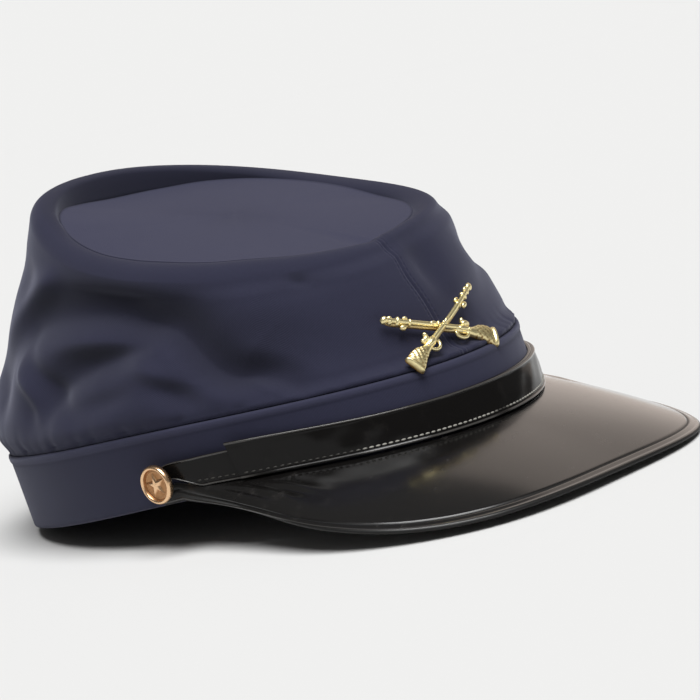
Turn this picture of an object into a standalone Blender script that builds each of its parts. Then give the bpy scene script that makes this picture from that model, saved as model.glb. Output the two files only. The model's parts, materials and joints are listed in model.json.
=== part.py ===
"""Kepi cap in navy cotton, with a sunken oval top, a black patent peak, a layered
chin strap on brass buttons, and a cast badge of crossed rifles on the front.

The cap is worked out in its own frame: the lower rim lies in z = 0, the front is -Y and
the wearer's left is +X. An empty then tips it back onto the floor, where the back of the
band and the edge of the peak carry it. A bearing is the turn round the cap: 0 is the
front, a quarter turn is the wearer's left and half a turn is the back.
"""
import math

import bpy
import bmesh
import numpy as np
from mathutils import Matrix, Vector
from mathutils.bvhtree import BVHTree

# Clearance between two pieces that touch
GAP = 0.0003

# Band: a cloth cuff between the lower rim and the seam of the crown
RIM_LENGTH = 0.2100
RIM_WIDTH = 0.1590
SEAM_LENGTH = 0.2030
SEAM_WIDTH = 0.1690
BAND_HEIGHT = 0.0265
BAND_SLOPE = 0.0024
RIM_DIP = 0.0065
BAND_WALL = 0.0022
LIP_HEIGHT = 0.0030
LIP_PROUD = 0.0007

# Crown side: one wall of cotton from the seam up over a soft roll and down to the top
CLOTH_WALL = 0.0015
TUCK_DEPTH = 0.0080
CREST_LENGTH = 0.1405
CREST_WIDTH = 0.1220
CREST_HEIGHT = 0.0880
CREST_FORWARD = 0.0145
CREST_TILT = math.radians(20.6)
CREST_WAVE = 0.0028
CREST_WAVE_TURN = math.radians(12.0)
CREST_SQUARENESS = 2.3
ROLL_RADIUS = 0.0030
CROWN_BULGE = 0.0080
FOLD_DEPTH = 0.0050

# Crown top: the oval sunk inside the roll
TOP_WALL = 0.0015
TOP_SINK_BACK = 0.0080
TOP_SINK_FRONT = 0.0018
TOP_DOME = 0.0010

# Peak: one sheet of patent vinyl, sewn round the front of the rim
PEAK_WALL = 0.0018
PEAK_PAST_BAND = 0.00835
PEAK_WIDTH = SEAM_WIDTH + 2 * PEAK_PAST_BAND
PEAK_REACH = 0.1226
PEAK_ROOT_BACK = 0.0282
PEAK_DROP = 0.0312
PEAK_SIDE_DROP = 0.0275
PEAK_TWIST = 0.0016
PEAK_CAMBER = 0.0012
PEAK_LAP_SIDE = 0.0050
PEAK_LAP_FRONT = 0.0010
# Powers that shape the peak: how square its outline is across and ahead, how quickly it is
# pulled in at its ends, how its drop is spread over the front and the sides, and how far
# from its ends it begins to stand off the band
PEAK_ACROSS_POWER = 0.61
PEAK_AHEAD_POWER = 0.79
PEAK_PULL_IN_POWER = 17.7
PEAK_FRONT_DROP_POWER = 1.8
PEAK_SIDE_DROP_POWER = 0.75
PEAK_END_POWER = 4

# Chin strap: two layers of patent vinyl that overlap across the front
STRAP_WIDTH = 0.0112
STRAP_WALL = 0.0010
STRAP_LIFT_SIDE = 0.0065
STRAP_LIFT_FRONT = PEAK_LAP_FRONT + GAP
STRAP_TAB_WIDTH = 0.0080
STRAP_TAB_LENGTH = 0.0180
STRAP_TAB_PAST = 0.0035
STRAP_OVERLAP_END = math.radians(62.0)
LAP_START = math.radians(46.0)
LAP_FULL = math.radians(66.0)

# Buttons: turned brass with a raised rim and a raised star
BUTTON_DIAMETER = 0.0146
BUTTON_THICKNESS = 0.0026
BUTTON_RIM = 0.0011
BUTTON_BEARING = math.radians(76.5)
BUTTON_HEIGHT = 0.0088
SHANK_DIAMETER = 0.0030
STAR_DIAMETER = 0.0072
STAR_RISE = 0.0006
STAR_POINTS = 5
STAR_WAIST = 0.42

# Badge: two crossed rifles cast in one piece
RIFLE_LENGTH = 0.0490
RIFLE_ANGLE = math.radians(23.5)
RIFLE_WALL = 0.0018
RIFLE_RIDGE = 0.0007
RIFLE_STEP = 0.0006
BADGE_HEIGHT = 0.0295
BADGE_RIGHT = 0.0045
BADGE_LEAN = math.radians(33.0)
BADGE_CLEAR = 0.0010

# Rest: how far the soft back of the band is pressed flat by the floor
REST_FLAT = 0.0008

# Faces: steps round the cap and over its roll, along and across the peak, along a strap
# and its tab, whose steps crowd to its tip, and round a button and a strap hole
ROUND_STEPS = 72
ROLL_STEPS = 4
PEAK_STEPS = 44
PEAK_ROWS = 6
STRAP_STEPS = 44
TAB_STEPS = 10
TAB_CROWDING = 1.5
BUTTON_STEPS = 20
HOLE_STEPS = 12
TOP_RINGS = (1.0, 0.8, 0.4)
SHARP_EDGE = math.radians(40.0)
TURN = 2 * math.pi

# Wall of the crown: share of its height, then its swell at the back, sides and front as
# shares of CROWN_BULGE
CROWN_SECTIONS = (
    ("height", "back", "side", "front"),
    (0.05, 0.50, 0.30, -0.35),
    (0.14, 0.95, 0.55, -0.45),
    (0.25, 1.05, 0.60, -0.40),
    (0.38, 0.90, 0.60, -0.25),
    (0.52, 0.62, 0.48, -0.05),
    (0.66, 0.36, 0.38, 0.10),
    (0.80, 0.00, 0.25, 0.20),
    (0.92, 0.00, 0.15, 0.20),
)

# Folds and dents of the wall: bearing in turns, share of the height, reach round in turns,
# reach up as a share of the height, slant in turns per height, and depth as a share of
# FOLD_DEPTH, where a minus swells out
CROWN_FOLDS = (
    ("bearing", "height", "round", "up", "slant", "depth"),
    (0.800, 0.60, 0.020, 0.38, -0.156, 0.80),
    (0.725, 0.82, 0.035, 0.10, 0.000, 0.50),
    (0.747, 0.65, 0.028, 0.13, 0.000, -0.55),
    (0.765, 0.46, 0.036, 0.09, 0.060, 0.60),
    (0.738, 0.26, 0.022, 0.09, 0.000, 0.35),
    (0.672, 0.40, 0.020, 0.20, -0.240, 0.60),
    (0.640, 0.78, 0.028, 0.14, 0.000, 0.45),
    (0.870, 0.40, 0.026, 0.22, -0.100, -0.30),
    (0.906, 0.86, 0.020, 0.07, 0.000, 0.15),
    (0.020, 0.75, 0.016, 0.26, 0.000, 0.20),
    (0.100, 0.45, 0.030, 0.25, 0.100, 0.25),
    (0.205, 0.60, 0.022, 0.38, 0.130, 0.50),
    (0.285, 0.45, 0.036, 0.12, 0.000, 0.40),
    (0.350, 0.62, 0.026, 0.28, 0.180, 0.45),
    (0.455, 0.50, 0.024, 0.32, -0.120, 0.45),
    (0.560, 0.38, 0.030, 0.16, 0.100, 0.35),
)

# One rifle seen from the side: place along it from the butt, then the reach of its upper
# and lower edge from the bore line, all as shares of RIFLE_LENGTH
RIFLE_OUTLINE = (
    ("along", "upper", "lower"),
    (0.000, 0.045, 0.090),
    (0.030, 0.050, 0.098),
    (0.070, 0.052, 0.088),
    (0.120, 0.050, 0.074),
    (0.170, 0.044, 0.058),
    (0.200, 0.032, 0.044),
    (0.235, 0.026, 0.036),
    (0.250, 0.028, 0.060),
    (0.275, 0.030, 0.068),
    (0.300, 0.074, 0.066),
    (0.325, 0.070, 0.060),
    (0.345, 0.036, 0.034),
    (0.390, 0.030, 0.026),
    (0.400, 0.022, 0.022),
    (0.560, 0.021, 0.021),
    (0.720, 0.020, 0.020),
    (0.755, 0.020, 0.040),
    (0.785, 0.020, 0.042),
    (0.800, 0.030, 0.020),
    (0.835, 0.032, 0.020),
    (0.860, 0.021, 0.020),
    (0.905, 0.028, 0.020),
    (0.935, 0.034, 0.022),
    (0.960, 0.026, 0.026),
    (1.000, 0.022, 0.022),
)

# Turned face of a button: inset from its edge and height from its back, as shares of
# BUTTON_RIM and of BUTTON_THICKNESS
BUTTON_FACE = (
    ("inset", "height"),
    (1.70, 0.69),
    (1.20, 1.00),
    (0.40, 1.00),
    (0.00, 0.75),
    (0.00, 0.13),
    (0.30, 0.00),
)

MATERIALS = {
    "navy_cotton": ((0.035, 0.037, 0.075, 1.0), 0.85, 0.0),
    "black_patent": ((0.010, 0.009, 0.009, 1.0), 0.18, 0.0),
    "button_brass": ((0.80, 0.45, 0.20, 1.0), 0.30, 1.0),
    "gold_cast": ((0.90, 0.72, 0.33, 1.0), 0.28, 1.0),
}


def table_rows(table):
    """Rows of a table with named columns, as one array for each column."""
    names = table[0]
    rows = np.array(table[1:], dtype=float).reshape(-1, len(names))
    return {name: rows[:, index] for index, name in enumerate(names)}


def clear_scene():
    for item in list(bpy.data.objects):
        bpy.data.objects.remove(item, do_unlink=True)


def make_material(name):
    colour, roughness, metallic = MATERIALS[name]
    material = bpy.data.materials.new(name)
    material.use_nodes = True
    shader = material.node_tree.nodes["Principled BSDF"]
    shader.inputs["Base Color"].default_value = colour
    shader.inputs["Roughness"].default_value = roughness
    shader.inputs["Metallic"].default_value = metallic
    return material


def make_object(name, mesh_data, material, parent):
    """A closed mesh from (points, faces), smooth with sharp edges kept."""
    points, faces = mesh_data
    mesh = bpy.data.meshes.new(name)
    mesh.from_pydata([tuple(point) for point in points], [], faces)
    body = bmesh.new()
    body.from_mesh(mesh)
    bmesh.ops.recalc_face_normals(body, faces=body.faces)
    body.to_mesh(mesh)
    body.free()
    mesh.shade_smooth()
    mesh.set_sharp_from_angle(angle=SHARP_EDGE)
    item = bpy.data.objects.new(name, mesh)
    item.data.materials.append(make_material(material))
    item.parent = parent
    bpy.context.scene.collection.objects.link(item)
    return item


def grid_faces(rows, columns, wrap_rows, wrap_columns):
    """Quads of a grid of points whose rows or columns may close on themselves."""
    faces = []
    for row in range(rows if wrap_rows else rows - 1):
        for column in range(columns if wrap_columns else columns - 1):
            right = (column + 1) % columns
            down = (row + 1) % rows
            faces.append((row * columns + column, row * columns + right,
                          down * columns + right, down * columns + column))
    return faces


def ring_mesh(rings):
    """A closed tube: each ring goes round the cap, and the rings close on themselves."""
    count, columns, _ = rings.shape
    return rings.reshape(-1, 3), grid_faces(count, columns, True, True)


def sheet_mesh(outer, inner):
    """A sheet between two grids of points, closed along its four edges."""
    rows, columns, _ = outer.shape
    total = rows * columns
    points = np.concatenate([outer.reshape(-1, 3), inner.reshape(-1, 3)])
    faces = grid_faces(rows, columns, False, False)
    faces += [tuple(total + corner for corner in reversed(face)) for face in list(faces)]
    border = list(range(columns))
    border += [row * columns + columns - 1 for row in range(1, rows)]
    border += [(rows - 1) * columns + column for column in range(columns - 2, -1, -1)]
    border += [row * columns for row in range(rows - 2, 0, -1)]
    for here, there in zip(border, border[1:] + border[:1]):
        faces.append((here, total + here, total + there, there))
    return points, faces


def grid_normals(points, closed_round):
    """Unit normals of a grid: rows climb the wall, columns go round the cap."""
    along = np.gradient(points, axis=0)
    if closed_round:
        around = np.roll(points, -1, axis=1) - np.roll(points, 1, axis=1)
    else:
        around = np.gradient(points, axis=1)
    normals = np.cross(around, along)
    return normals / np.linalg.norm(normals, axis=-1, keepdims=True)


def oval(bearing, length, width, squareness=2.0):
    """Plan of an oval, squarer at its corners where squareness is over 2."""
    across = np.sin(bearing)
    ahead = np.cos(bearing)
    size = (np.abs(across) ** squareness + np.abs(ahead) ** squareness) ** (-1 / squareness)
    return np.stack([width / 2 * across * size, -length / 2 * ahead * size], -1)


def outward(bearing, length, width):
    """Level unit normal of an oval, with a zero height."""
    across = np.sin(bearing) / width
    ahead = -np.cos(bearing) / length
    size = np.hypot(across, ahead)
    return np.stack([across / size, ahead / size, 0 * across], -1)


def rim_height(ahead):
    """The rim dips at the front, where ahead is -y as a share of half the length."""
    return -RIM_DIP * np.maximum(0.0, ahead) ** 2


def band_point(bearing, share, proud=0.0):
    """Outer face of the band at a share of its height, moved out by proud."""
    bearing = np.asarray(bearing, dtype=float)
    ahead = np.cos(bearing)
    rim = np.concatenate([oval(bearing, RIM_LENGTH, RIM_WIDTH),
                          rim_height(ahead)[..., None]], -1)
    height = rim_height(ahead) + BAND_HEIGHT - BAND_SLOPE * ahead
    seam = np.concatenate([oval(bearing, SEAM_LENGTH, SEAM_WIDTH), height[..., None]], -1)
    share = np.asarray(share, dtype=float)[..., None]
    proud = np.asarray(proud, dtype=float)[..., None]
    return rim + (seam - rim) * share + proud * outward(bearing, RIM_LENGTH, RIM_WIDTH)


def band_length_share(length):
    """A length up the band as a share of its height."""
    return length / BAND_HEIGHT


def bearings():
    return np.arange(ROUND_STEPS) * TURN / ROUND_STEPS


def crest_plan_length():
    return CREST_LENGTH * math.cos(CREST_TILT)


def crest_point(bearing):
    """Top line of the soft roll round the crown."""
    plan = oval(bearing, crest_plan_length(), CREST_WIDTH, CREST_SQUARENESS)
    rise = plan[..., 1] * math.tan(CREST_TILT)
    height = CREST_HEIGHT + rise + CREST_WAVE * np.cos(2 * (bearing - CREST_WAVE_TURN))
    return np.stack([plan[..., 0], plan[..., 1] - CREST_FORWARD, height], -1)


def top_height(plan_y):
    """Height of the sunken top: a plane that is lower at the back than the roll is."""
    half = crest_plan_length() / 2
    back = (plan_y + CREST_FORWARD) / half
    rise = CREST_LENGTH / 2 * math.sin(CREST_TILT)
    sink = (TOP_SINK_BACK + TOP_SINK_FRONT) / 2 + back * (TOP_SINK_BACK - TOP_SINK_FRONT) / 2
    return CREST_HEIGHT + back * rise - sink


def crown_wall(bearing):
    """Outer face of the crown's wall, from its tuck in the band to the sunken top."""
    inset = -(BAND_WALL + GAP)
    tuck = 1 - band_length_share(TUCK_DEPTH)
    ones = np.ones_like(bearing)
    rows = [band_point(bearing, tuck * ones, inset * ones),
            band_point(bearing, ones, inset * ones)]
    out = outward(bearing, crest_plan_length(), CREST_WIDTH)
    up = np.array([0.0, 0.0, 1.0])
    crest = crest_point(bearing)
    middle = crest - ROLL_RADIUS * up
    foot = band_point(bearing, ones, -GAP * ones) + (CLOTH_WALL + GAP) * up
    rows.append(foot)
    head = middle + ROLL_RADIUS * out
    columns = table_rows(CROWN_SECTIONS)
    ahead = np.cos(bearing)
    folds = table_rows(CROWN_FOLDS)
    for index, share in enumerate(columns["height"]):
        front = np.maximum(0.0, ahead) ** 2 * columns["front"][index]
        back = np.maximum(0.0, -ahead) ** 2 * columns["back"][index]
        side = (1 - ahead ** 2) * columns["side"][index]
        swell = CROWN_BULGE * (front + back + side)
        swell = swell - FOLD_DEPTH * fold_depth(bearing, share, folds)
        rows.append(foot + (head - foot) * share + swell[:, None] * out)
    for angle in np.linspace(0, math.pi, ROLL_STEPS + 1):
        rows.append(middle + ROLL_RADIUS * (math.cos(angle) * out + math.sin(angle) * up))
    bottom = rows[-1].copy()
    bottom[:, 2] = top_height(bottom[:, 1]) - TOP_WALL - GAP
    rows.append(bottom)
    return np.array(rows)


def fold_depth(bearing, share, folds):
    """Sum of the folds at one height: each fades out in a smooth hump."""
    depth = np.zeros_like(bearing)
    for index in range(len(folds["bearing"])):
        rise = share - folds["height"][index]
        middle = TURN * (folds["bearing"][index] + folds["slant"][index] * rise)
        turn = (bearing - middle + math.pi) % TURN - math.pi
        around = turn / (TURN * folds["round"][index])
        up = rise / folds["up"][index]
        depth = depth + folds["depth"][index] * np.exp(-around ** 2 - up ** 2)
    return depth


def band_mesh():
    bearing = bearings()
    lip = 1 - band_length_share(LIP_HEIGHT)
    soft = band_length_share(BAND_WALL / 3)
    profile = ((0.0, -BAND_WALL / 3), (soft, 0.0), (0.5, 0.0), (lip - soft, 0.0),
               (lip, LIP_PROUD), (1 - soft, LIP_PROUD), (1.0, 0.0), (1.0, -BAND_WALL),
               (0.0, -BAND_WALL))
    ones = np.ones_like(bearing)
    rings = [band_point(bearing, share * ones, proud * ones) for share, proud in profile]
    return ring_mesh(np.array(rings))


def crown_side_mesh():
    outer = crown_wall(bearings())
    inner = outer - CLOTH_WALL * grid_normals(outer, True)
    return ring_mesh(np.concatenate([outer, inner[::-1]]))


def crown_top_mesh():
    bearing = bearings()
    inset = 2 * (ROLL_RADIUS + GAP)
    plan = oval(bearing, crest_plan_length() - inset, CREST_WIDTH - inset, CREST_SQUARENESS)
    levels = []
    for side, rings in ((0.0, TOP_RINGS), (-TOP_WALL, reversed(TOP_RINGS))):
        for ring in rings:
            flat = plan * ring
            flat[:, 1] -= CREST_FORWARD
            height = top_height(flat[:, 1]) + TOP_DOME * (1 - ring ** 2) + side
            levels.append(np.concatenate([flat, height[:, None]], -1))
    rings = np.array(levels)
    count, columns, _ = rings.shape
    half = count // 2
    centre = np.array([0.0, -CREST_FORWARD, top_height(-CREST_FORWARD) + TOP_DOME])
    points = np.concatenate([rings.reshape(-1, 3), [centre, centre - [0, 0, TOP_WALL]]])
    upper_pole = count * columns
    faces = [face for face in grid_faces(count, columns, True, True)
             if not (min(face) // columns == half - 1 and max(face) // columns == half)]
    for column in range(columns):
        right = (column + 1) % columns
        first = (half - 1) * columns
        faces.append((first + column, first + right, upper_pole))
        second = half * columns
        faces.append((second + right, second + column, upper_pole + 1))
    return points, faces


def peak_outline(turn):
    """Outer edge of the peak, for turn from -1 at the wearer's right end to 1 at the left.

    It is a squared oval, pulled in to the rim at its two ends, that drops to the front.
    """
    angle = turn * math.pi / 2
    side = np.sin(angle)
    ahead = np.abs(np.cos(angle))
    root_ahead = 2 * PEAK_ROOT_BACK / RIM_LENGTH
    root_across = RIM_WIDTH / 2 * math.sqrt(1 - root_ahead ** 2)
    across = PEAK_WIDTH / 2 * np.abs(side) ** PEAK_ACROSS_POWER
    pull_in = np.abs(side) ** PEAK_PULL_IN_POWER
    across = across - (PEAK_WIDTH / 2 - root_across) * pull_in
    forward = PEAK_ROOT_BACK + PEAK_REACH * ahead ** PEAK_AHEAD_POWER
    drop = PEAK_DROP * ahead ** PEAK_FRONT_DROP_POWER
    drop = drop + PEAK_SIDE_DROP * ahead ** PEAK_SIDE_DROP_POWER * side ** 2
    across = np.sign(side) * across
    twist = PEAK_TWIST * across / (PEAK_WIDTH / 2) * np.minimum(1.0, 2 * ahead)
    return np.stack([across, -forward, -drop - twist], -1)


def peak_grids():
    """Upper and lower faces of the peak, ruled from the rim to the outline."""
    turn = np.linspace(-1, 1, PEAK_STEPS + 1)
    root_bearing = math.acos(2 * PEAK_ROOT_BACK / RIM_LENGTH)
    bearing = turn * root_bearing
    near_end = np.abs(turn) ** PEAK_END_POWER
    lap = PEAK_LAP_FRONT + (PEAK_LAP_SIDE - PEAK_LAP_FRONT) * near_end
    stand = GAP + PEAK_WALL * (1 + near_end) / 2
    root = band_point(bearing, band_length_share(lap), stand)
    clear = (GAP + PEAK_WALL) * near_end[:, None]
    edge = peak_outline(turn) + clear * outward(bearing, RIM_LENGTH, RIM_WIDTH)
    share = np.linspace(0, 1, PEAK_ROWS + 1)[:, None, None]
    upper = root + (edge - root) * share
    width = np.linalg.norm(edge - root, axis=-1)
    hump = PEAK_CAMBER * 4 * share * (1 - share) * (width / width.max())[None, :, None]
    normals = -grid_normals(upper, False)
    upper = upper + hump * normals
    return upper, upper - PEAK_WALL * normals


def strap_stand(bearing, layer):
    """How far a strap layer stands off the band: it rides up over the peak's lapped ends."""
    climb = np.clip((np.abs(bearing) - LAP_START) / (LAP_FULL - LAP_START), 0, 1)
    over_lap = (PEAK_WALL + GAP) * climb ** 2 * (3 - 2 * climb)
    return GAP + over_lap + layer * (STRAP_WALL + GAP)


def strap_middle(bearing):
    """Height of the strap's middle line, which comes down to the button at its tab."""
    lift = STRAP_LIFT_SIDE + (STRAP_LIFT_FRONT - STRAP_LIFT_SIDE) * np.cos(bearing)
    middle = lift + STRAP_WIDTH / 2
    from_button = (BUTTON_BEARING - np.abs(bearing)) * RIM_LENGTH / 2
    blend = np.clip(1 - from_button / STRAP_TAB_LENGTH, 0, 1)
    return middle + (BUTTON_HEIGHT - middle) * blend ** 2 * (3 - 2 * blend)


def strap_reach(bearing):
    """Half the strap's width: full along the front, and a rounded tab past the button."""
    tip = BUTTON_BEARING + STRAP_TAB_PAST / (RIM_LENGTH / 2)
    from_tip = (tip - np.abs(bearing)) * RIM_LENGTH / 2
    tab = STRAP_TAB_WIDTH / 2
    spread = np.clip((from_tip - tab) / STRAP_TAB_LENGTH, 0, 1)
    reach = tab + (STRAP_WIDTH / 2 - tab) * spread
    short = np.clip(1 - from_tip / tab, 0, 0.95)
    return reach * np.sqrt(1 - short ** 2)


def strap_corners(side, layer):
    """Corner lines of one layer, buttoned on one side and cut square at the other."""
    tip = BUTTON_BEARING + STRAP_TAB_PAST / (RIM_LENGTH / 2)
    tab_end = BUTTON_BEARING - STRAP_TAB_LENGTH / (RIM_LENGTH / 2)
    tab = tip + (tab_end - tip) * np.linspace(0, 1, TAB_STEPS + 1) ** TAB_CROWDING
    run = np.linspace(tab_end, -STRAP_OVERLAP_END, STRAP_STEPS - TAB_STEPS + 1)[1:]
    bearing = side * np.concatenate([tab, run])
    inner = strap_stand(bearing, layer)
    middle = strap_middle(bearing)
    reach = strap_reach(bearing)
    corners = []
    for edge, proud in ((-1, 0.0), (1, 0.0), (1, STRAP_WALL), (-1, STRAP_WALL)):
        share = band_length_share(middle + edge * reach)
        corners.append(band_point(bearing, share, inner + proud))
    return np.array(corners)


def strap_mesh(corners):
    """A strap from its four corner lines, closed at both ends."""
    count, columns, _ = corners.shape
    faces = grid_faces(count, columns, True, False)
    faces.append(tuple(row * columns for row in range(count)))
    faces.append(tuple(row * columns + columns - 1 for row in reversed(range(count))))
    return corners.reshape(-1, 3), faces


def turned_mesh(profile, steps):
    """A body turned about Z, from a profile of (radius, height) that starts and ends on Z."""
    radius, height = np.array(profile[1:-1]).T
    turn = np.arange(steps) * TURN / steps
    rings = np.stack([np.outer(radius, np.cos(turn)), np.outer(radius, np.sin(turn)),
                      np.repeat(height[:, None], steps, 1)], -1)
    rows = len(radius)
    poles = [(0.0, 0.0, profile[0][1]), (0.0, 0.0, profile[-1][1])]
    points = np.concatenate([rings.reshape(-1, 3), poles])
    faces = grid_faces(rows, steps, False, True)
    for step in range(steps):
        right = (step + 1) % steps
        faces.append((right, step, rows * steps))
        faces.append(((rows - 1) * steps + step, (rows - 1) * steps + right, rows * steps + 1))
    return points, faces


def button_profile(stand):
    """Face, raised rim, edge, back and shank of a button, with its back at height 0."""
    columns = table_rows(BUTTON_FACE)
    radius = BUTTON_DIAMETER / 2 - columns["inset"] * BUTTON_RIM
    height = columns["height"] * BUTTON_THICKNESS
    shank = SHANK_DIAMETER / 2
    reach = stand - GAP
    return ((0.0, height[0]), *zip(radius, height), (shank, 0.0), (shank, -reach),
            (0.0, -reach))


def button_stand(layer):
    """The button's back sits on the strap layer that it holds."""
    return float(strap_stand(BUTTON_BEARING, layer + 1)) + GAP


def star_mesh():
    """A low five-pointed star, sunk a little into the button's face."""
    floor = table_rows(BUTTON_FACE)["height"][0] * BUTTON_THICKNESS
    corners = 2 * STAR_POINTS
    points = []
    for height in (floor - STAR_RISE, floor + STAR_RISE):
        for corner in range(corners):
            angle = TURN * corner / corners
            radius = STAR_DIAMETER / 2 * (1.0 if corner % 2 == 0 else STAR_WAIST)
            points.append((radius * math.cos(angle), radius * math.sin(angle), height))
    points.append((0.0, 0.0, floor + 2 * STAR_RISE))
    faces = [tuple(reversed(range(corners)))]
    for corner in range(corners):
        right = (corner + 1) % corners
        faces.append((corner, right, corners + right, corners + corner))
        faces.append((corners + corner, corners + right, 2 * corners))
    return np.array(points), faces


def placed(mesh_data, matrix):
    points, faces = mesh_data
    return np.array([matrix @ Vector(point) for point in points]), faces


def button_matrix(side, layer):
    """Frame of a button: its Z points square out of the band, its X points up the band."""
    turns = side * BUTTON_BEARING + np.array([0.0, 0.0, -0.01, 0.01])
    share = band_length_share(BUTTON_HEIGHT) + np.array([-0.1, 0.1, 0.0, 0.0])
    low, high, before, after = [Vector(point) for point in band_point(turns, share)]
    up = (high - low).normalized()
    axis = (after - before).cross(up).normalized()
    matrix = Matrix((up, axis.cross(up), axis)).transposed().to_4x4()
    matrix.translation = (low + high) / 2 + axis * button_stand(layer)
    return matrix


def add_boolean(item, other, operation):
    modifier = item.modifiers.new(operation.lower(), "BOOLEAN")
    modifier.operation = operation
    modifier.object = other
    modifier.solver = "EXACT"
    other.hide_render = True
    other.display_type = "WIRE"


def build_button(name, side, layer, parent):
    matrix = button_matrix(side, layer)
    profile = button_profile(button_stand(layer))
    button = make_object(name, placed(turned_mesh(profile, BUTTON_STEPS), matrix),
                         "button_brass", parent)
    star = make_object(name + "_star_guide", placed(star_mesh(), matrix),
                       "button_brass", parent)
    add_boolean(button, star, "UNION")


def build_strap(name, side, layer, parent):
    strap = make_object(name, strap_mesh(strap_corners(side, layer)), "black_patent", parent)
    radius = SHANK_DIAMETER / 2 + GAP
    reach = BUTTON_DIAMETER
    profile = ((0.0, reach), (radius, reach), (radius, -reach), (0.0, -reach))
    hole = make_object(name + "_hole_guide",
                       placed(turned_mesh(profile, HOLE_STEPS), button_matrix(side, layer)),
                       "black_patent", parent)
    add_boolean(strap, hole, "DIFFERENCE")


def rifle_grid(mirror, raised):
    """Upper and lower faces of one rifle on the flat badge: across, up and out."""
    columns = table_rows(RIFLE_OUTLINE)
    along = (columns["along"] - 0.5) * RIFLE_LENGTH
    cos, sin = math.cos(RIFLE_ANGLE), math.sin(RIFLE_ANGLE)
    ridge = (columns["upper"] - columns["lower"]) / 2
    edges = []
    for off in (columns["upper"], ridge, -columns["lower"]):
        side = off * RIFLE_LENGTH
        edges.append(np.stack([mirror * (along * cos - side * sin),
                               along * sin + side * cos, 0 * along], -1))
    back = np.array(edges)
    front = back + [0.0, 0.0, RIFLE_WALL - RIFLE_RIDGE + raised]
    front[1, :, 2] += RIFLE_RIDGE
    return front, back


def bend_to_crown(points, target):
    """Place flat badge points on the crown's front, along one even curve of its own."""
    across = points[:, 0] - BADGE_RIGHT
    height = BADGE_HEIGHT + points[:, 1] * math.cos(BADGE_LEAN)
    ahead = Vector((0.0, -1.0, 0.0))
    hits = []
    for x, z in zip(across, height):
        start = Vector((x, 0.0, z)) + ahead * RIM_LENGTH
        hits.append(target.ray_cast(start, -ahead)[0].y)
    hits = np.array(hits)
    terms = np.stack([np.ones_like(across), height, across ** 2], -1)
    curve = terms @ np.linalg.lstsq(terms, hits, rcond=None)[0]
    seat = curve + (hits - curve).min() - BADGE_CLEAR
    out = np.array([0.0, -math.cos(BADGE_LEAN), math.sin(BADGE_LEAN)])
    return np.stack([across, seat, height], -1) + points[:, 2:] * out


def build_badge(carriers, parent):
    """Two crossed rifles, cast as one piece, lying on the crown and over its seam."""
    tree = surface_tree(carriers)
    halves = []
    for mirror, raised in ((1, RIFLE_STEP), (-1, 0.0)):
        front, back = rifle_grid(mirror, raised)
        halves.append(sheet_mesh(front, back))
    flat = np.concatenate([points for points, _ in halves])
    bent = bend_to_crown(flat, tree)
    split = len(halves[0][0])
    badge = make_object("badge", (bent[:split], halves[0][1]), "gold_cast", parent)
    under = make_object("badge_under_guide", (bent[split:], halves[1][1]), "gold_cast", parent)
    add_boolean(badge, under, "UNION")


def surface_tree(items):
    """One search tree over the faces of several objects that share a parent."""
    points, faces = [], []
    for item in items:
        start = len(points)
        points += [vertex.co.copy() for vertex in item.data.vertices]
        faces += [[start + index for index in face.vertices] for face in item.data.polygons]
    return BVHTree.FromPolygons(points, faces)


def rest_pose(band_points, peak_points):
    """Backward tip and lift of the cap, so that band and peak both meet the floor."""
    def lowest(points, tip):
        return (points[:, 2] * math.cos(tip) - points[:, 1] * math.sin(tip)).min()

    low, high = 0.0, math.radians(20.0)
    for _ in range(50):
        tip = (low + high) / 2
        if lowest(band_points, tip) + REST_FLAT > lowest(peak_points, tip):
            low = tip
        else:
            high = tip
    return tip, -lowest(peak_points, tip)


def press_flat(points, tip, lift):
    """Cloth below the floor is pushed up to it."""
    floor = (points[:, 1] * math.sin(tip) - lift) / math.cos(tip)
    pressed = points.copy()
    pressed[:, 2] = np.maximum(points[:, 2], floor)
    return pressed


def centre_on_floor(rest):
    """Move the cap so that the middle of its box is over the origin."""
    bpy.context.view_layer.update()
    depsgraph = bpy.context.evaluated_depsgraph_get()
    places = [world_points(item, depsgraph) for item in rest.children if not item.hide_render]
    places = np.concatenate(places)
    middle = (places.min(axis=0) + places.max(axis=0)) / 2
    rest.location.x -= middle[0]
    rest.location.y -= middle[1]


def world_points(item, depsgraph):
    solid = item.evaluated_get(depsgraph)
    mesh = solid.to_mesh()
    points = np.array([solid.matrix_world @ vertex.co for vertex in mesh.vertices])
    solid.to_mesh_clear()
    return points


def main():
    clear_scene()
    rest = bpy.data.objects.new("cap_rest", None)
    bpy.context.scene.collection.objects.link(rest)
    band_points, band_faces = band_mesh()
    peak_points, peak_faces = sheet_mesh(*peak_grids())
    tip, lift = rest_pose(band_points, peak_points)
    rest.rotation_euler = (-tip, 0.0, 0.0)
    rest.location = (0.0, 0.0, lift)
    band_points = press_flat(band_points, tip, lift)
    band = make_object("band", (band_points, band_faces), "navy_cotton", rest)
    crown = make_object("crown_side", crown_side_mesh(), "navy_cotton", rest)
    make_object("crown_top", crown_top_mesh(), "navy_cotton", rest)
    make_object("peak", (peak_points, peak_faces), "black_patent", rest)
    build_strap("chin_strap_under", -1, 0, rest)
    build_strap("chin_strap_over", 1, 1, rest)
    build_button("button_right", -1, 0, rest)
    build_button("button_left", 1, 1, rest)
    build_badge((crown, band), rest)
    centre_on_floor(rest)


main()
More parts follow.
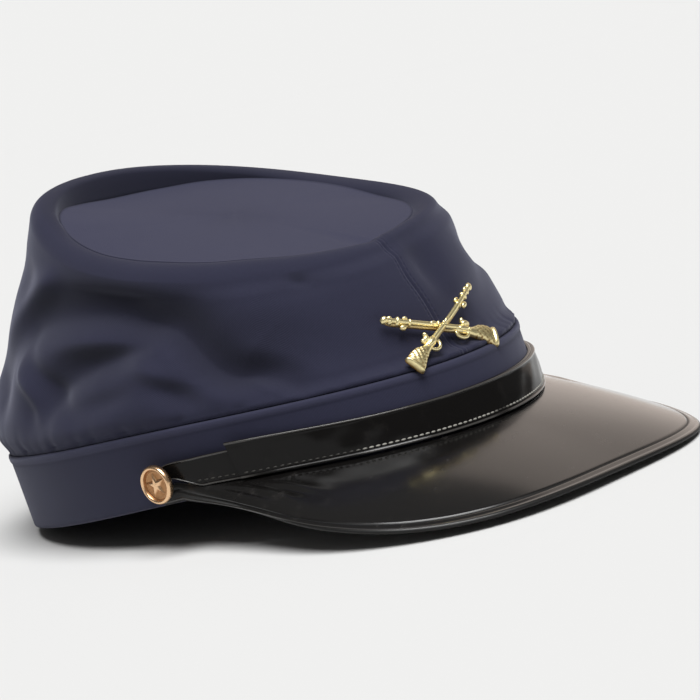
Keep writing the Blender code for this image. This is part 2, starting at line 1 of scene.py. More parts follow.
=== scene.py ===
# %% [markdown]
# # Dressing a navy kepi
#
# A kepi is a small cap of cotton: a band that fits the head, a crown that leans forward to
# a sunken top, a glossy peak, and a chin strap held by two brass buttons. The packed model
# gives its solids, which are plain and exact. This script keeps their places and sizes and
# gives each piece the surface that the real one has: folds, seams, stitches and cast relief.
#
# Every surface here is worked out with numpy as a grid of points, because a formula can be
# read, changed and checked, and a mesh that was pushed around by hand can't.

# %% Load the packed frame
import json
import math

import bpy
import numpy as np
from mathutils import Euler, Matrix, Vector

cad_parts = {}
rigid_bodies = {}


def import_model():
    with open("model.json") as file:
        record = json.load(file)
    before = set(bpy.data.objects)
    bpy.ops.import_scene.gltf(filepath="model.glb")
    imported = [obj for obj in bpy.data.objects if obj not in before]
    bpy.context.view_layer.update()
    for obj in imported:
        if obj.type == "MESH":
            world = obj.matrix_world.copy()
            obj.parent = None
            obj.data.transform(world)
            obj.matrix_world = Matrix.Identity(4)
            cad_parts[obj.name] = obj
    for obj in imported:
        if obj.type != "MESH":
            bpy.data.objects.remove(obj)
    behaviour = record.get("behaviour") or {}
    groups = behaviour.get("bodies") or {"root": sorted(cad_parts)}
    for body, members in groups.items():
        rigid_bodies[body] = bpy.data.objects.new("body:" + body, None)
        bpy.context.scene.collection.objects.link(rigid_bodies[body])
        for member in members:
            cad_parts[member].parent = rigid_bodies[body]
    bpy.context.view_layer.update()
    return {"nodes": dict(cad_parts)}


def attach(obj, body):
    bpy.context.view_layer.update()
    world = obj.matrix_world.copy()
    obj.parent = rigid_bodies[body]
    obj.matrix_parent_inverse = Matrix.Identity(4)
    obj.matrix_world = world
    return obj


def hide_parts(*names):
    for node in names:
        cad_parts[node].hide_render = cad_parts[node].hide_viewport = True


for item in list(bpy.data.objects):
    bpy.data.objects.remove(item, do_unlink=True)
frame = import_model()
print("nodes:", ", ".join(sorted(frame["nodes"])))

# %% [markdown]
# ## The cap's own frame
#
# It is easiest to think about a cap with its rim level. In that frame z = 0 is the lower
# rim, -Y is the front and +X is the wearer's left. A bearing goes round the cap from the
# front towards the wearer's left. The cap rests on the back of its band and the edge of its
# peak, so at the end each point is tipped back and put on the floor.

# %% Frame and sizes of the cap, in metres
TURN = 2 * math.pi
CAP_TIP = 0.139022
CAP_PLACE = (-0.00063, 0.023629, 0.013649)
GAP = 0.0003

RIM_LENGTH = 0.2100
RIM_WIDTH = 0.1590
SEAM_LENGTH = 0.2030
SEAM_WIDTH = 0.1690
BAND_HEIGHT = 0.0265
BAND_SLOPE = 0.0024
RIM_DIP = 0.0065
BAND_WALL = 0.0022


def on_floor(points):
    """Tip back about X by CAP_TIP, then move to the cap's place on the floor."""
    x, y, z = np.moveaxis(np.asarray(points, dtype=float), -1, 0)
    cos, sin = math.cos(CAP_TIP), math.sin(CAP_TIP)
    tipped = np.stack([x, y * cos + z * sin, z * cos - y * sin], -1)
    return tipped + CAP_PLACE


def oval(bearing, length, width, squareness=2.0):
    """Plan of an oval: |across|^n + |ahead|^n = 1, which is squarer where n is over 2."""
    across, ahead = np.sin(bearing), np.cos(bearing)
    size = (np.abs(across) ** squareness + np.abs(ahead) ** squareness) ** (-1 / squareness)
    return np.stack([width / 2 * across * size, -length / 2 * ahead * size], -1)


def outward(bearing, length, width):
    """Level unit normal of an oval: its gradient, made one long."""
    across = np.sin(bearing) / width
    ahead = -np.cos(bearing) / length
    size = np.hypot(across, ahead)
    return np.stack([across / size, ahead / size, 0 * across], -1)


def band_point(bearing, share, proud=0.0):
    """Outer face of the band: the straight line from the rim's oval to the seam's oval.

    Share runs from 0 at the rim to 1 at the seam, and proud moves the point outwards.
    """
    bearing, share, proud = np.broadcast_arrays(bearing, share, proud)
    ahead = np.cos(bearing)
    dip = -RIM_DIP * np.maximum(0.0, ahead) ** 2
    seam_height = dip + BAND_HEIGHT - BAND_SLOPE * ahead
    rim = np.concatenate([oval(bearing, RIM_LENGTH, RIM_WIDTH), dip[..., None]], -1)
    seam = np.concatenate([oval(bearing, SEAM_LENGTH, SEAM_WIDTH), seam_height[..., None]], -1)
    out = outward(bearing, RIM_LENGTH, RIM_WIDTH)
    return rim + (seam - rim) * share[..., None] + proud[..., None] * out


print("tip of the cap:", round(math.degrees(CAP_TIP), 2), "degrees")

# %% [markdown]
# ## From grids to meshes
#
# A grid of points needs only its quads and, for cloth, a UV map in metres, so that a weave
# keeps its real size. A `Skin` gathers grids, closes them with fans at their poles, and
# writes the mesh with foreach_set, which takes whole arrays at once.

# %% Helpers for tables and grids
def columns_of(table):
    """A table with a first row of names becomes one array for each name."""
    rows = np.array(table[1:], dtype=float)
    return {name: rows[:, index] for index, name in enumerate(table[0])}


def grid_normals(points, closed=False):
    """Unit normals of a grid: the cross product of its steps along columns and rows."""
    along = np.gradient(points, axis=0)
    if closed:
        around = np.roll(points, -1, axis=1) - np.roll(points, 1, axis=1)
    else:
        around = np.gradient(points, axis=1)
    normals = np.cross(around, along)
    length = np.linalg.norm(normals, axis=-1, keepdims=True)
    return normals / np.maximum(length, 1e-12)


def running_length(points, axis):
    """Length walked along one way of a grid, from 0 at its start."""
    steps = np.linalg.norm(np.diff(points, axis=axis), axis=-1)
    start = np.zeros_like(np.take(steps, [0], axis=axis))
    return np.concatenate([start, np.cumsum(steps, axis=axis)], axis)


print("rim, once round:", round(float(running_length(
    band_point(np.linspace(0, TURN, 361), 0.0), 0)[-1]), 4), "m")

# %% Gather grids into one mesh
class Skin:
    """Points and faces of one piece, gathered from grids and fans."""

    def __init__(self):
        self.points = []
        self.faces = []
        self.maps = []
        self.marks = []
        self.total = 0

    def grid(self, points, close_rows=False, close_columns=False, mark=0.0):
        """Quads between neighbours. The UV map is the length along columns and rows."""
        rows, columns, _ = points.shape
        row = np.arange(rows if close_rows else rows - 1)[:, None]
        column = np.arange(columns if close_columns else columns - 1)[None, :]
        right, below = column + 1, row + 1
        places = [(row, column), (row, right), (below, right), (below, column)]
        corners = [r % rows * columns + c % columns for r, c in places]
        corners = np.stack(np.broadcast_arrays(*corners), -1).reshape(-1, 4)
        across = np.concatenate([points, points[:, :1]], 1)
        down = np.concatenate([points, points[:1]], 0)
        u = running_length(across, 1).mean(axis=0)
        v = running_length(down, 0)
        v = np.concatenate([v, v[:, :1]], 1)
        maps = [np.stack(np.broadcast_arrays(u[c], v[r, c]), -1) for r, c in places]
        self.faces.append(self.total + corners)
        self.maps.append(np.stack(maps, -2).reshape(-1, 4, 2))
        self.points.append(points.reshape(-1, 3))
        self.marks.append(np.broadcast_to(mark, (rows, columns)).ravel())
        first = self.total
        self.total += rows * columns
        return first + np.arange(rows * columns).reshape(rows, columns)

    def fan(self, ring, centre, mark=0.0):
        """Triangles from a closed ring of vertex numbers to one new point."""
        following = np.roll(ring, -1)
        self.faces.append(np.stack([ring, following, np.full_like(ring, self.total)], -1))
        self.maps.append(np.zeros((len(ring), 3, 2)))
        self.points.append(np.reshape(centre, (1, 3)))
        self.marks.append(np.array([mark]))
        self.total += 1

    def bodies(self, rings, mark=0.0):
        """Closed shells: each is a stack of rings with a pole in its first and last ring.

        Rings has the shape (shells, rows, columns, 3). A ring that runs the wrong way round
        its stack is turned, which its area vector (the sum of p x next p) tells.
        """
        count, rows, columns, _ = rings.shape
        ring = rings[:, rows // 2]
        area = np.cross(ring, np.roll(ring, -1, axis=1)).sum(axis=1)
        stack = rings[:, -1].mean(axis=1) - rings[:, 0].mean(axis=1)
        wrong = ((area * stack).sum(axis=-1) < 0)[:, None, None]
        marks = np.broadcast_to(mark, (count, rows, columns))
        marks = np.where(wrong, marks[:, :, ::-1], marks).reshape(count, -1)
        rings = np.where(wrong[..., None], rings[:, :, ::-1], rings)
        poles = np.stack([rings[:, 0].mean(axis=1), rings[:, -1].mean(axis=1)], 1)
        points = np.concatenate([rings.reshape(count, -1, 3), poles], 1)
        size = rows * columns + 2
        first = self.total + np.arange(count)[:, None] * size
        row, column = np.arange(rows - 1)[:, None], np.arange(columns)[None, :]
        right = (column + 1) % columns
        quads = [row * columns + column, row * columns + right,
                 (row + 1) * columns + right, (row + 1) * columns + column]
        quads = np.stack(np.broadcast_arrays(*quads), -1).reshape(-1, 4)
        column, right = column[0], right[0]
        last = (rows - 1) * columns
        bottom = np.stack([right, column, np.full(columns, size - 2)], -1)
        top = np.stack([last + column, last + right, np.full(columns, size - 1)], -1)
        for faces in (quads, np.concatenate([bottom, top])):
            faces = (first[..., None] + faces[None]).reshape(-1, faces.shape[1])
            self.faces.append(faces)
            self.maps.append(np.zeros(faces.shape + (2,)))
        self.points.append(points.reshape(-1, 3))
        self.marks.append(np.concatenate([marks, marks[:, :1], marks[:, -1:]], 1).ravel())
        self.total += count * size

    def lid(self, ring):
        """One face over a closed ring of vertex numbers."""
        self.faces.append(ring[None, :])
        self.maps.append(np.zeros((1, len(ring), 2)))

    def mesh(self, name):
        """Write points, corners, face starts, UV map and marks as whole arrays."""
        mesh = bpy.data.meshes.new(name)
        points = np.concatenate(self.points)
        corners = np.concatenate([faces.ravel() for faces in self.faces])
        sizes = np.concatenate([np.full(len(faces), faces.shape[1]) for faces in self.faces])
        starts = np.cumsum(sizes) - sizes
        mesh.vertices.add(len(points))
        mesh.vertices.foreach_set("co", points.astype(np.float32).ravel())
        mesh.loops.add(len(corners))
        mesh.loops.foreach_set("vertex_index", corners.astype(np.int32))
        mesh.polygons.add(len(sizes))
        mesh.polygons.foreach_set("loop_start", starts.astype(np.int32))
        mesh.update(calc_edges=True)
        layer = mesh.uv_layers.new(name="laid_flat")
        flat = np.concatenate([part.reshape(-1, 2) for part in self.maps])
        layer.data.foreach_set("uv", flat.astype(np.float32).ravel())
        # The mark carries painted shade, painted light, wear and dull places
        mark = mesh.attributes.new("recess", "FLOAT", "POINT")
        mark.data.foreach_set("value", np.concatenate(self.marks).astype(np.float32))
        mesh.validate()
        return mesh


print("a Skin takes:", ", ".join(name for name in vars(Skin) if not name.startswith("_")))

# %% Small round bodies, and the step from a skin to a piece
POLE_CLEAR = 0.48


def beads(centres, along, side, out, rows=7, columns=10):
    """Rings of ellipsoids: three half-axes each, with the poles on the out axis."""
    angle = np.linspace(-POLE_CLEAR, POLE_CLEAR, rows)[None, :, None, None] * TURN / 2
    turn = (np.arange(columns) * TURN / columns)[None, None, :, None]
    centres, along, side, out = [v[:, None, None, :] for v in (centres, along, side, out)]
    level = np.cos(angle) * (np.cos(turn) * along + np.sin(turn) * side)
    return centres + level + np.sin(angle) * out


def add_piece(name, skin, finish, nodes, sharp=None):
    """A mesh object at the origin that rides on the cap and stands for CAD nodes."""
    mesh = skin.mesh(name)
    mesh.shade_smooth()
    if sharp is not None:
        mesh.set_sharp_from_angle(angle=math.radians(sharp))
    piece = bpy.data.objects.new(name, mesh)
    bpy.context.scene.collection.objects.link(piece)
    mesh.materials.append(finish)
    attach(piece, "root")
    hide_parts(*nodes)
    triangles = sum(len(faces) * (faces.shape[1] - 2) for faces in skin.faces)
    print(name, "triangles:", triangles)


# %% [markdown]
# ## Shader maths as expressions
#
# Node trees are hard to read as lists of links. A `Link` holds one output socket and
# overloads the operators, so that a weave can be written as a formula. Anything that isn't
# plain arithmetic goes through `Finish.node`.

# %% One small class for sockets
class Link:
    """An output socket on which + - * / and ** add Math nodes."""

    def __init__(self, finish, socket):
        self.finish = finish
        self.socket = socket

    def __add__(self, other):
        return self.finish.math("ADD", self, other)

    def __sub__(self, other):
        return self.finish.math("SUBTRACT", self, other)

    def __mul__(self, other):
        return self.finish.math("MULTIPLY", self, other)

    def __truediv__(self, other):
        return self.finish.math("DIVIDE", self, other)

    def __pow__(self, other):
        return self.finish.math("POWER", self, other)

    def __radd__(self, other):
        return self.finish.math("ADD", other, self)

    def __rsub__(self, other):
        return self.finish.math("SUBTRACT", other, self)

    def __rmul__(self, other):
        return self.finish.math("MULTIPLY", other, self)


print("operators of a Link:", ", ".join(name.strip("_") for name in vars(Link)
                                        if name.startswith("__r") or name in vars(float)))

# %% One class for a material
class Finish:
    """One material: a Principled shader and the nodes that feed it."""

    def __init__(self, name, **fixed):
        self.material = bpy.data.materials.new(name)
        self.material.use_nodes = True
        self.tree = self.material.node_tree
        self.shader = self.tree.nodes["Principled BSDF"]
        for socket, value in fixed.items():
            self.shader.inputs[socket.replace("_", " ")].default_value = value

    def node(self, kind, settings=None, output=0, **inputs):
        """Add a node: its settings first, then the values or links of its sockets."""
        node = self.tree.nodes.new(kind)
        for name, value in (settings or {}).items():
            if name == "stops":
                self.stops(node.color_ramp, value)
            else:
                setattr(node, name, value)
        for name, value in inputs.items():
            index = int(name[1:]) if name[1:].isdigit() else name.replace("_", " ")
            self.feed(node.inputs[index], value)
        return Link(self, node.outputs[output])

    @staticmethod
    def stops(ramp, stops):
        """Place and colour of each stop of a ramp."""
        while len(ramp.elements) < len(stops):
            ramp.elements.new(0.5)
        for element, (place, colour) in zip(ramp.elements, stops):
            element.position = place
            element.color = colour

    def feed(self, socket, value):
        """Join a link to a socket, or set the socket to a number or a colour."""
        if isinstance(value, Link):
            self.tree.links.new(value.socket, socket)
        else:
            socket.default_value = value

    def math(self, operation, first, second=0.0, third=0.0):
        """One Math node."""
        return self.node("ShaderNodeMath", {"operation": operation},
                         i0=first, i1=second, i2=third)

    def clamp(self, value):
        """Hold a value between 0 and 1."""
        return self.node("ShaderNodeClamp", i0=value)

    def smooth(self, value, low, high):
        """0 below low and 1 above high, with a smooth step between."""
        return self.node("ShaderNodeMapRange", {"interpolation_type": "SMOOTHSTEP"},
                         i0=value, i1=low, i2=high)

    def noise(self, place, scale, detail=2.0, roughness=0.5):
        """Smooth random values between 0 and 1, with scale as bumps in each metre."""
        return self.node("ShaderNodeTexNoise", Vector=place, Scale=scale, Detail=detail,
                         Roughness=roughness)

    def mix(self, share, first, second):
        """Blend two colours by a share."""
        return self.node("ShaderNodeMix", {"data_type": "RGBA"}, output=2,
                         i0=share, i6=first, i7=second)

    def place(self):
        """Object coordinates, in metres."""
        return self.node("ShaderNodeTexCoord", output=3)

    def flat(self):
        """The UV map that lays the cloth flat, in metres, as its two numbers."""
        uv = self.node("ShaderNodeUVMap", {"uv_map": "laid_flat"})
        x = self.node("ShaderNodeSeparateXYZ", output=0, i0=uv)
        return x, Link(self, x.socket.node.outputs[1])

    def mark(self):
        """The mesh's attribute that carries painted shade, painted light, wear and dull places."""
        return self.node("ShaderNodeAttribute", {"attribute_name": "recess"}, output=2)

    def bump(self, height, distance, strength):
        """A normal that is tilted as if the surface rose by height times distance."""
        return self.node("ShaderNodeBump", Height=height, Distance=distance,
                         Strength=strength)

    def set(self, **links):
        """Feed the shader's sockets, and give back the material."""
        for socket, value in links.items():
            self.feed(self.shader.inputs[socket.replace("_", " ")], value)
        return self.material


print("a Finish takes:", ", ".join(name for name in vars(Finish) if not name.startswith("_")))

# %% [markdown]
# ## Navy cotton twill
#
# Twill is woven so that each thread steps over by one, which leaves fine slanting ribs. The
# ribs are well under a millimetre apart, so they only show close up. From further away the
# cloth is a dull navy with a soft sheen. Its colour is painted darker in the folds' low places
# and where they face down, which is painted shade. It is made paler as wear on ridges and on the
# band's lip, and paler as painted light over the whole sunken top.

# %% Mix the cotton
RIB_SPACING = 0.00065
THREAD_SPACING = 0.00042
WEAVE_HEIGHT = 0.00007
CLOUD_SCALE = 26.0
FIBRE_SCALE = 900.0
DARK_THREAD = 0.72
PALE_THREAD = 1.30
# Painted shade: the dark tone of the folds, as a share of the colour, and how much of it is mixed
# in
PAINTED_SHADE_TONE = 0.22
PAINTED_SHADE_SHARE = 0.75
# How much of the paler colour is mixed in, for wear and for painted light
WEAR_AND_LIGHT_SHARE = 0.55


def cotton(name, colour, wear_and_light):
    """Ribs are a sine of u + v, threads a sine of v - u, and both shade and raise it."""
    finish = Finish(name, Roughness=0.88, Sheen_Weight=0.25, Sheen_Roughness=0.45)
    finish.shader.inputs["Sheen Tint"].default_value = (0.62, 0.64, 0.80, 1.0)
    finish.shader.inputs["Specular IOR Level"].default_value = 0.25
    u, v = finish.flat()
    ribs = finish.math("SINE", (u + v) * (TURN / RIB_SPACING))
    threads = finish.math("SINE", (v - u * 0.35) * (TURN / THREAD_SPACING))
    weave = ribs * 0.35 + threads * 0.15 + 0.5
    place = finish.place()
    cloudy = finish.noise(place, CLOUD_SCALE, 3.0)
    fibres = finish.noise(place, FIBRE_SCALE, 2.0)
    pale = finish.clamp(weave * 0.34 + cloudy * 0.36 + fibres * 0.30)
    dark, light, deep = [tuple(thread * c for c in colour) + (1.0,)
                         for thread in (DARK_THREAD, PALE_THREAD, PAINTED_SHADE_TONE)]
    base = finish.mix(pale, dark, light)
    # Painted shade: a mark above 0 mixes the colour towards a dark tone
    painted_shade = finish.clamp(finish.mark())
    base = finish.mix(painted_shade * PAINTED_SHADE_SHARE, base, deep)
    # A mark below 0 mixes it towards the paler colour: wear on ridges and the band's lip, painted
    # light on the top
    made_paler = finish.clamp(finish.mark() * -1.0)
    base = finish.mix(made_paler * WEAR_AND_LIGHT_SHARE, base, wear_and_light + (1.0,))
    normal = finish.bump(weave + fibres * 0.5, WEAVE_HEIGHT, 0.55)
    return finish.set(Base_Color=base, Normal=normal)


# The second colour is the paler one, for wear and for the painted light on the top
navy_cotton = cotton("navy_cotton_twill", (0.0182, 0.0188, 0.0400), (0.072, 0.073, 0.126))
print("cotton nodes:", len(navy_cotton.node_tree.nodes))

# %% [markdown]
# ## Black patent vinyl
#
# Patent vinyl is a smooth clear skin over a black sheet. Its gloss comes from the coat, and
# its age from very shallow ripples and a fine dust of scuffs, which blur the reflections.

# %% Mix the vinyl
VINYL_BLACK = (0.0055, 0.0050, 0.0048, 1.0)
VINYL_SCUFFED = (0.020, 0.018, 0.017, 1.0)
# Painted highlight: the paler colour given to a rolled edge
VINYL_EDGE_HIGHLIGHT = (0.050, 0.047, 0.044, 1.0)
RIPPLE_SCALE = 38.0
PEEL_SCALE = 420.0
SCUFF_SCALE = 150.0
RIPPLE_HEIGHT = 0.00030
COAT_LOST = 0.85


def patent(name, roughness, coat, specular, wear, matt_and_glint):
    """Slow noise ripples the coat, and fast noise scatters faint scuffs on it.

    A mark of 1 has no coat and the dull colour that is passed in: a dull black on the peak's
    groove, cut edge and sewn ends, and on the strap's stitches a pale grey, which is a painted
    glint. A mark of -1 is a rolled edge with a full coat and a paler colour, a painted highlight.
    """
    finish = Finish(name, Coat_Roughness=0.15, Coat_IOR=1.5)
    finish.shader.inputs["Specular IOR Level"].default_value = specular
    place = finish.place()
    ripple = finish.noise(place, RIPPLE_SCALE, 2.0)
    peel = finish.noise(place, PEEL_SCALE, 2.0)
    scuffs = finish.smooth(finish.noise(place, SCUFF_SCALE, 4.0, 0.65), 0.56, 0.80) * wear
    base = finish.mix(scuffs, VINYL_BLACK, VINYL_SCUFFED)
    dull = finish.clamp(finish.mark())
    rolled = finish.clamp(finish.mark() * -1.0)
    # A mark of 1 mixes in the dull colour; on the strap's stitches that pale grey is a painted
    # glint
    base = finish.mix(dull, base, matt_and_glint + (1.0,))
    # Painted highlight: a rolled edge is given a paler colour
    base = finish.mix(rolled, base, VINYL_EDGE_HIGHLIGHT)
    gloss = finish.clamp(roughness + scuffs * 0.16 + dull * 0.4)
    clear = finish.clamp(finish.mark() * -COAT_LOST + coat)
    normal = finish.bump(ripple + peel * 0.12, RIPPLE_HEIGHT, 0.35)
    return finish.set(Base_Color=base, Roughness=gloss, Normal=normal, Coat_Weight=clear)


black_patent = patent("black_patent_vinyl", 0.20, 0.90, 0.30, 1.0, (0.006, 0.006, 0.006))
# On the strap the pale grey for a mark of 1 is the stitches' painted glint
strap_patent = patent("strap_patent_vinyl", 0.20, 0.11, 0.11, 0.4, (0.32, 0.31, 0.28))
print("patent nodes:", len(black_patent.node_tree.nodes))

# %% [markdown]
# ## Brass and gilt
#
# The buttons are warm polished brass and the badge is paler gilt. The meshes carry a mark for
# each point, and where it is high the metal is made darker and rougher: on the badge that is
# painted shade on low metal and in the carving, and on a button it is the sunken floor, less so
# on its star.

# %% Mix the two metals
STAIN_SCALE = 700.0
STAIN_HEIGHT = 0.00005


def metal(name, bright, dark, roughness):
    """Recesses go dark and rough, and noise breaks up the polish."""
    finish = Finish(name, Metallic=1.0)
    place = finish.place()
    # Where the mark is high the colour is made darker: painted shade on the badge, the darker
    # sunken floor on a button
    hidden = finish.clamp(finish.mark())
    stain = finish.noise(place, STAIN_SCALE, 3.0, 0.6)
    deep = finish.clamp(hidden + (stain - 0.5) * 0.35)
    base = finish.mix(deep, bright + (1.0,), dark + (1.0,))
    gloss = finish.clamp(roughness + deep * 0.22 + stain * 0.06)
    normal = finish.bump(stain, STAIN_HEIGHT, 0.35)
    return finish.set(Base_Color=base, Roughness=gloss, Normal=normal)


button_brass = metal("button_brass", (0.88, 0.58, 0.34), (0.34, 0.15, 0.05), 0.24)
gold_cast = metal("badge_gilt", (1.00, 0.87, 0.48), (0.26, 0.13, 0.03), 0.33)
print("metal nodes:", len(gold_cast.node_tree.nodes))

# %% [markdown]
# ## The crown
#
# The crown is one wall of cotton. It leaves the seam of the band, swells a little at the
# back, leans in to the soft roll round the top and turns down to the sunken disc. A wall
# between two ovals is a straight line at each bearing, so the shape is that line plus a
# swell, less the depth of the folds. The folds are smooth humps that are stretched along a
# slant, and creases, which are sharp valleys along a line with a soft ridge beside them.

# %% Sizes of the crown
CLOTH_WALL = 0.0015
TUCK_DEPTH = 0.0080
CREST_LENGTH = 0.1405
CREST_WIDTH = 0.1220
CREST_HEIGHT = 0.0880
CREST_FORWARD = 0.0145
CREST_TILT = math.radians(20.6)
CREST_WAVE = 0.0028
CREST_WAVE_TURN = math.radians(12.0)
CREST_SQUARENESS = 2.3
ROLL_RADIUS = 0.0030
CROWN_BULGE = 0.0080
FOLD_DEPTH = 0.0050
TOP_WALL = 0.0015
TOP_DOME = 0.0010
UP = np.array([0.0, 0.0, 1.0])
crest_plan = CREST_LENGTH * math.cos(CREST_TILT)

# Swell of the wall by share of its height, as shares of CROWN_BULGE
CROWN_SECTIONS = (
    ("height", "back", "side", "front"),
    (0.00, 0.00, 0.00, 0.00),
    (0.05, 0.50, 0.30, -0.35),
    (0.14, 0.95, 0.55, -0.45),
    (0.25, 1.05, 0.60, -0.40),
    (0.38, 0.90, 0.60, -0.25),
    (0.52, 0.62, 0.48, -0.05),
    (0.66, 0.36, 0.38, 0.10),
    (0.80, 0.00, 0.25, 0.20),
    (0.92, 0.00, 0.15, 0.20),
    (1.00, 0.00, 0.00, 0.00),
)
print("crest, seen from above:", round(crest_plan, 4), "by", CREST_WIDTH, "m")

# %% Table of the top's edge
# The top by bearing: how far its edge lies below the crest, how far inside it, the radius of
# the shoulder outside, and how far the crest is pressed down. The wearer's right side has
# slumped into a wide soft shoulder with the top flush on it.
TOP_EDGE = (
    ("bearing", "sink", "inset", "shoulder", "press"),
    (0.000, 0.0012, 0.0040, 0.0034, 0.0016), (0.060, 0.0014, 0.0050, 0.0030, 0.0004),
    (0.140, 0.0018, 0.0060, 0.0030, 0.0000), (0.190, 0.0026, 0.0060, 0.0030, 0.0000),
    (0.250, 0.0014, 0.0062, 0.0030, 0.0000), (0.330, 0.0034, 0.0062, 0.0030, 0.0000),
    (0.380, 0.0062, 0.0062, 0.0030, 0.0000), (0.430, 0.0094, 0.0062, 0.0031, 0.0000),
    (0.500, 0.0108, 0.0062, 0.0034, 0.0000), (0.550, 0.0088, 0.0062, 0.0040, 0.0000),
    (0.590, 0.0060, 0.0060, 0.0046, 0.0000), (0.630, 0.0034, 0.0050, 0.0056, 0.0010),
    (0.670, 0.0012, 0.0034, 0.0066, 0.0034), (0.720, 0.0006, 0.0020, 0.0076, 0.0036),
    (0.760, 0.0003, 0.0014, 0.0084, 0.0022), (0.790, 0.0002, 0.0012, 0.0086, 0.0008),
    (0.830, 0.0002, 0.0008, 0.0090, -0.0004), (0.870, 0.0002, 0.0008, 0.0088, -0.0012),
    (0.910, 0.0003, 0.0010, 0.0080, -0.0003), (0.940, 0.0004, 0.0018, 0.0068, 0.0006),
    (0.965, 0.0006, 0.0026, 0.0056, 0.0016), (0.986, 0.0010, 0.0036, 0.0040, 0.0024),
    (1.000, 0.0012, 0.0040, 0.0034, 0.0016),
)
print("top, deepest below the crest:", max(row[1] for row in TOP_EDGE[1:]), "m")

# %% Tables of the folds and the creases
# Humps: bearing in turns, share of the height, reach round in turns, reach up as a share of
# the height, slant in turns per height, and depth as a share of FOLD_DEPTH
CROWN_FOLDS = (
    ("bearing", "height", "round", "up", "slant", "depth"),
    (0.747, 0.60, 0.030, 0.10, 0.000, -0.60),
    (0.800, 0.36, 0.012, 0.14, -0.120, -0.35),
    (0.705, 0.34, 0.012, 0.20, -0.160, 0.35),
    (0.640, 0.78, 0.028, 0.14, 0.000, 0.45),
    (0.870, 0.40, 0.026, 0.22, -0.100, -0.30),
    (0.906, 0.86, 0.020, 0.07, 0.000, 0.15),
    (0.020, 0.75, 0.016, 0.26, 0.000, 0.20),
    (0.100, 0.45, 0.030, 0.25, 0.100, 0.25),
    (0.205, 0.60, 0.022, 0.38, 0.130, 0.50),
    (0.285, 0.45, 0.036, 0.12, 0.000, 0.40),
    (0.350, 0.62, 0.026, 0.28, 0.180, 0.45),
    (0.455, 0.50, 0.024, 0.32, -0.120, 0.45),
    (0.560, 0.38, 0.030, 0.16, 0.100, 0.35),
)

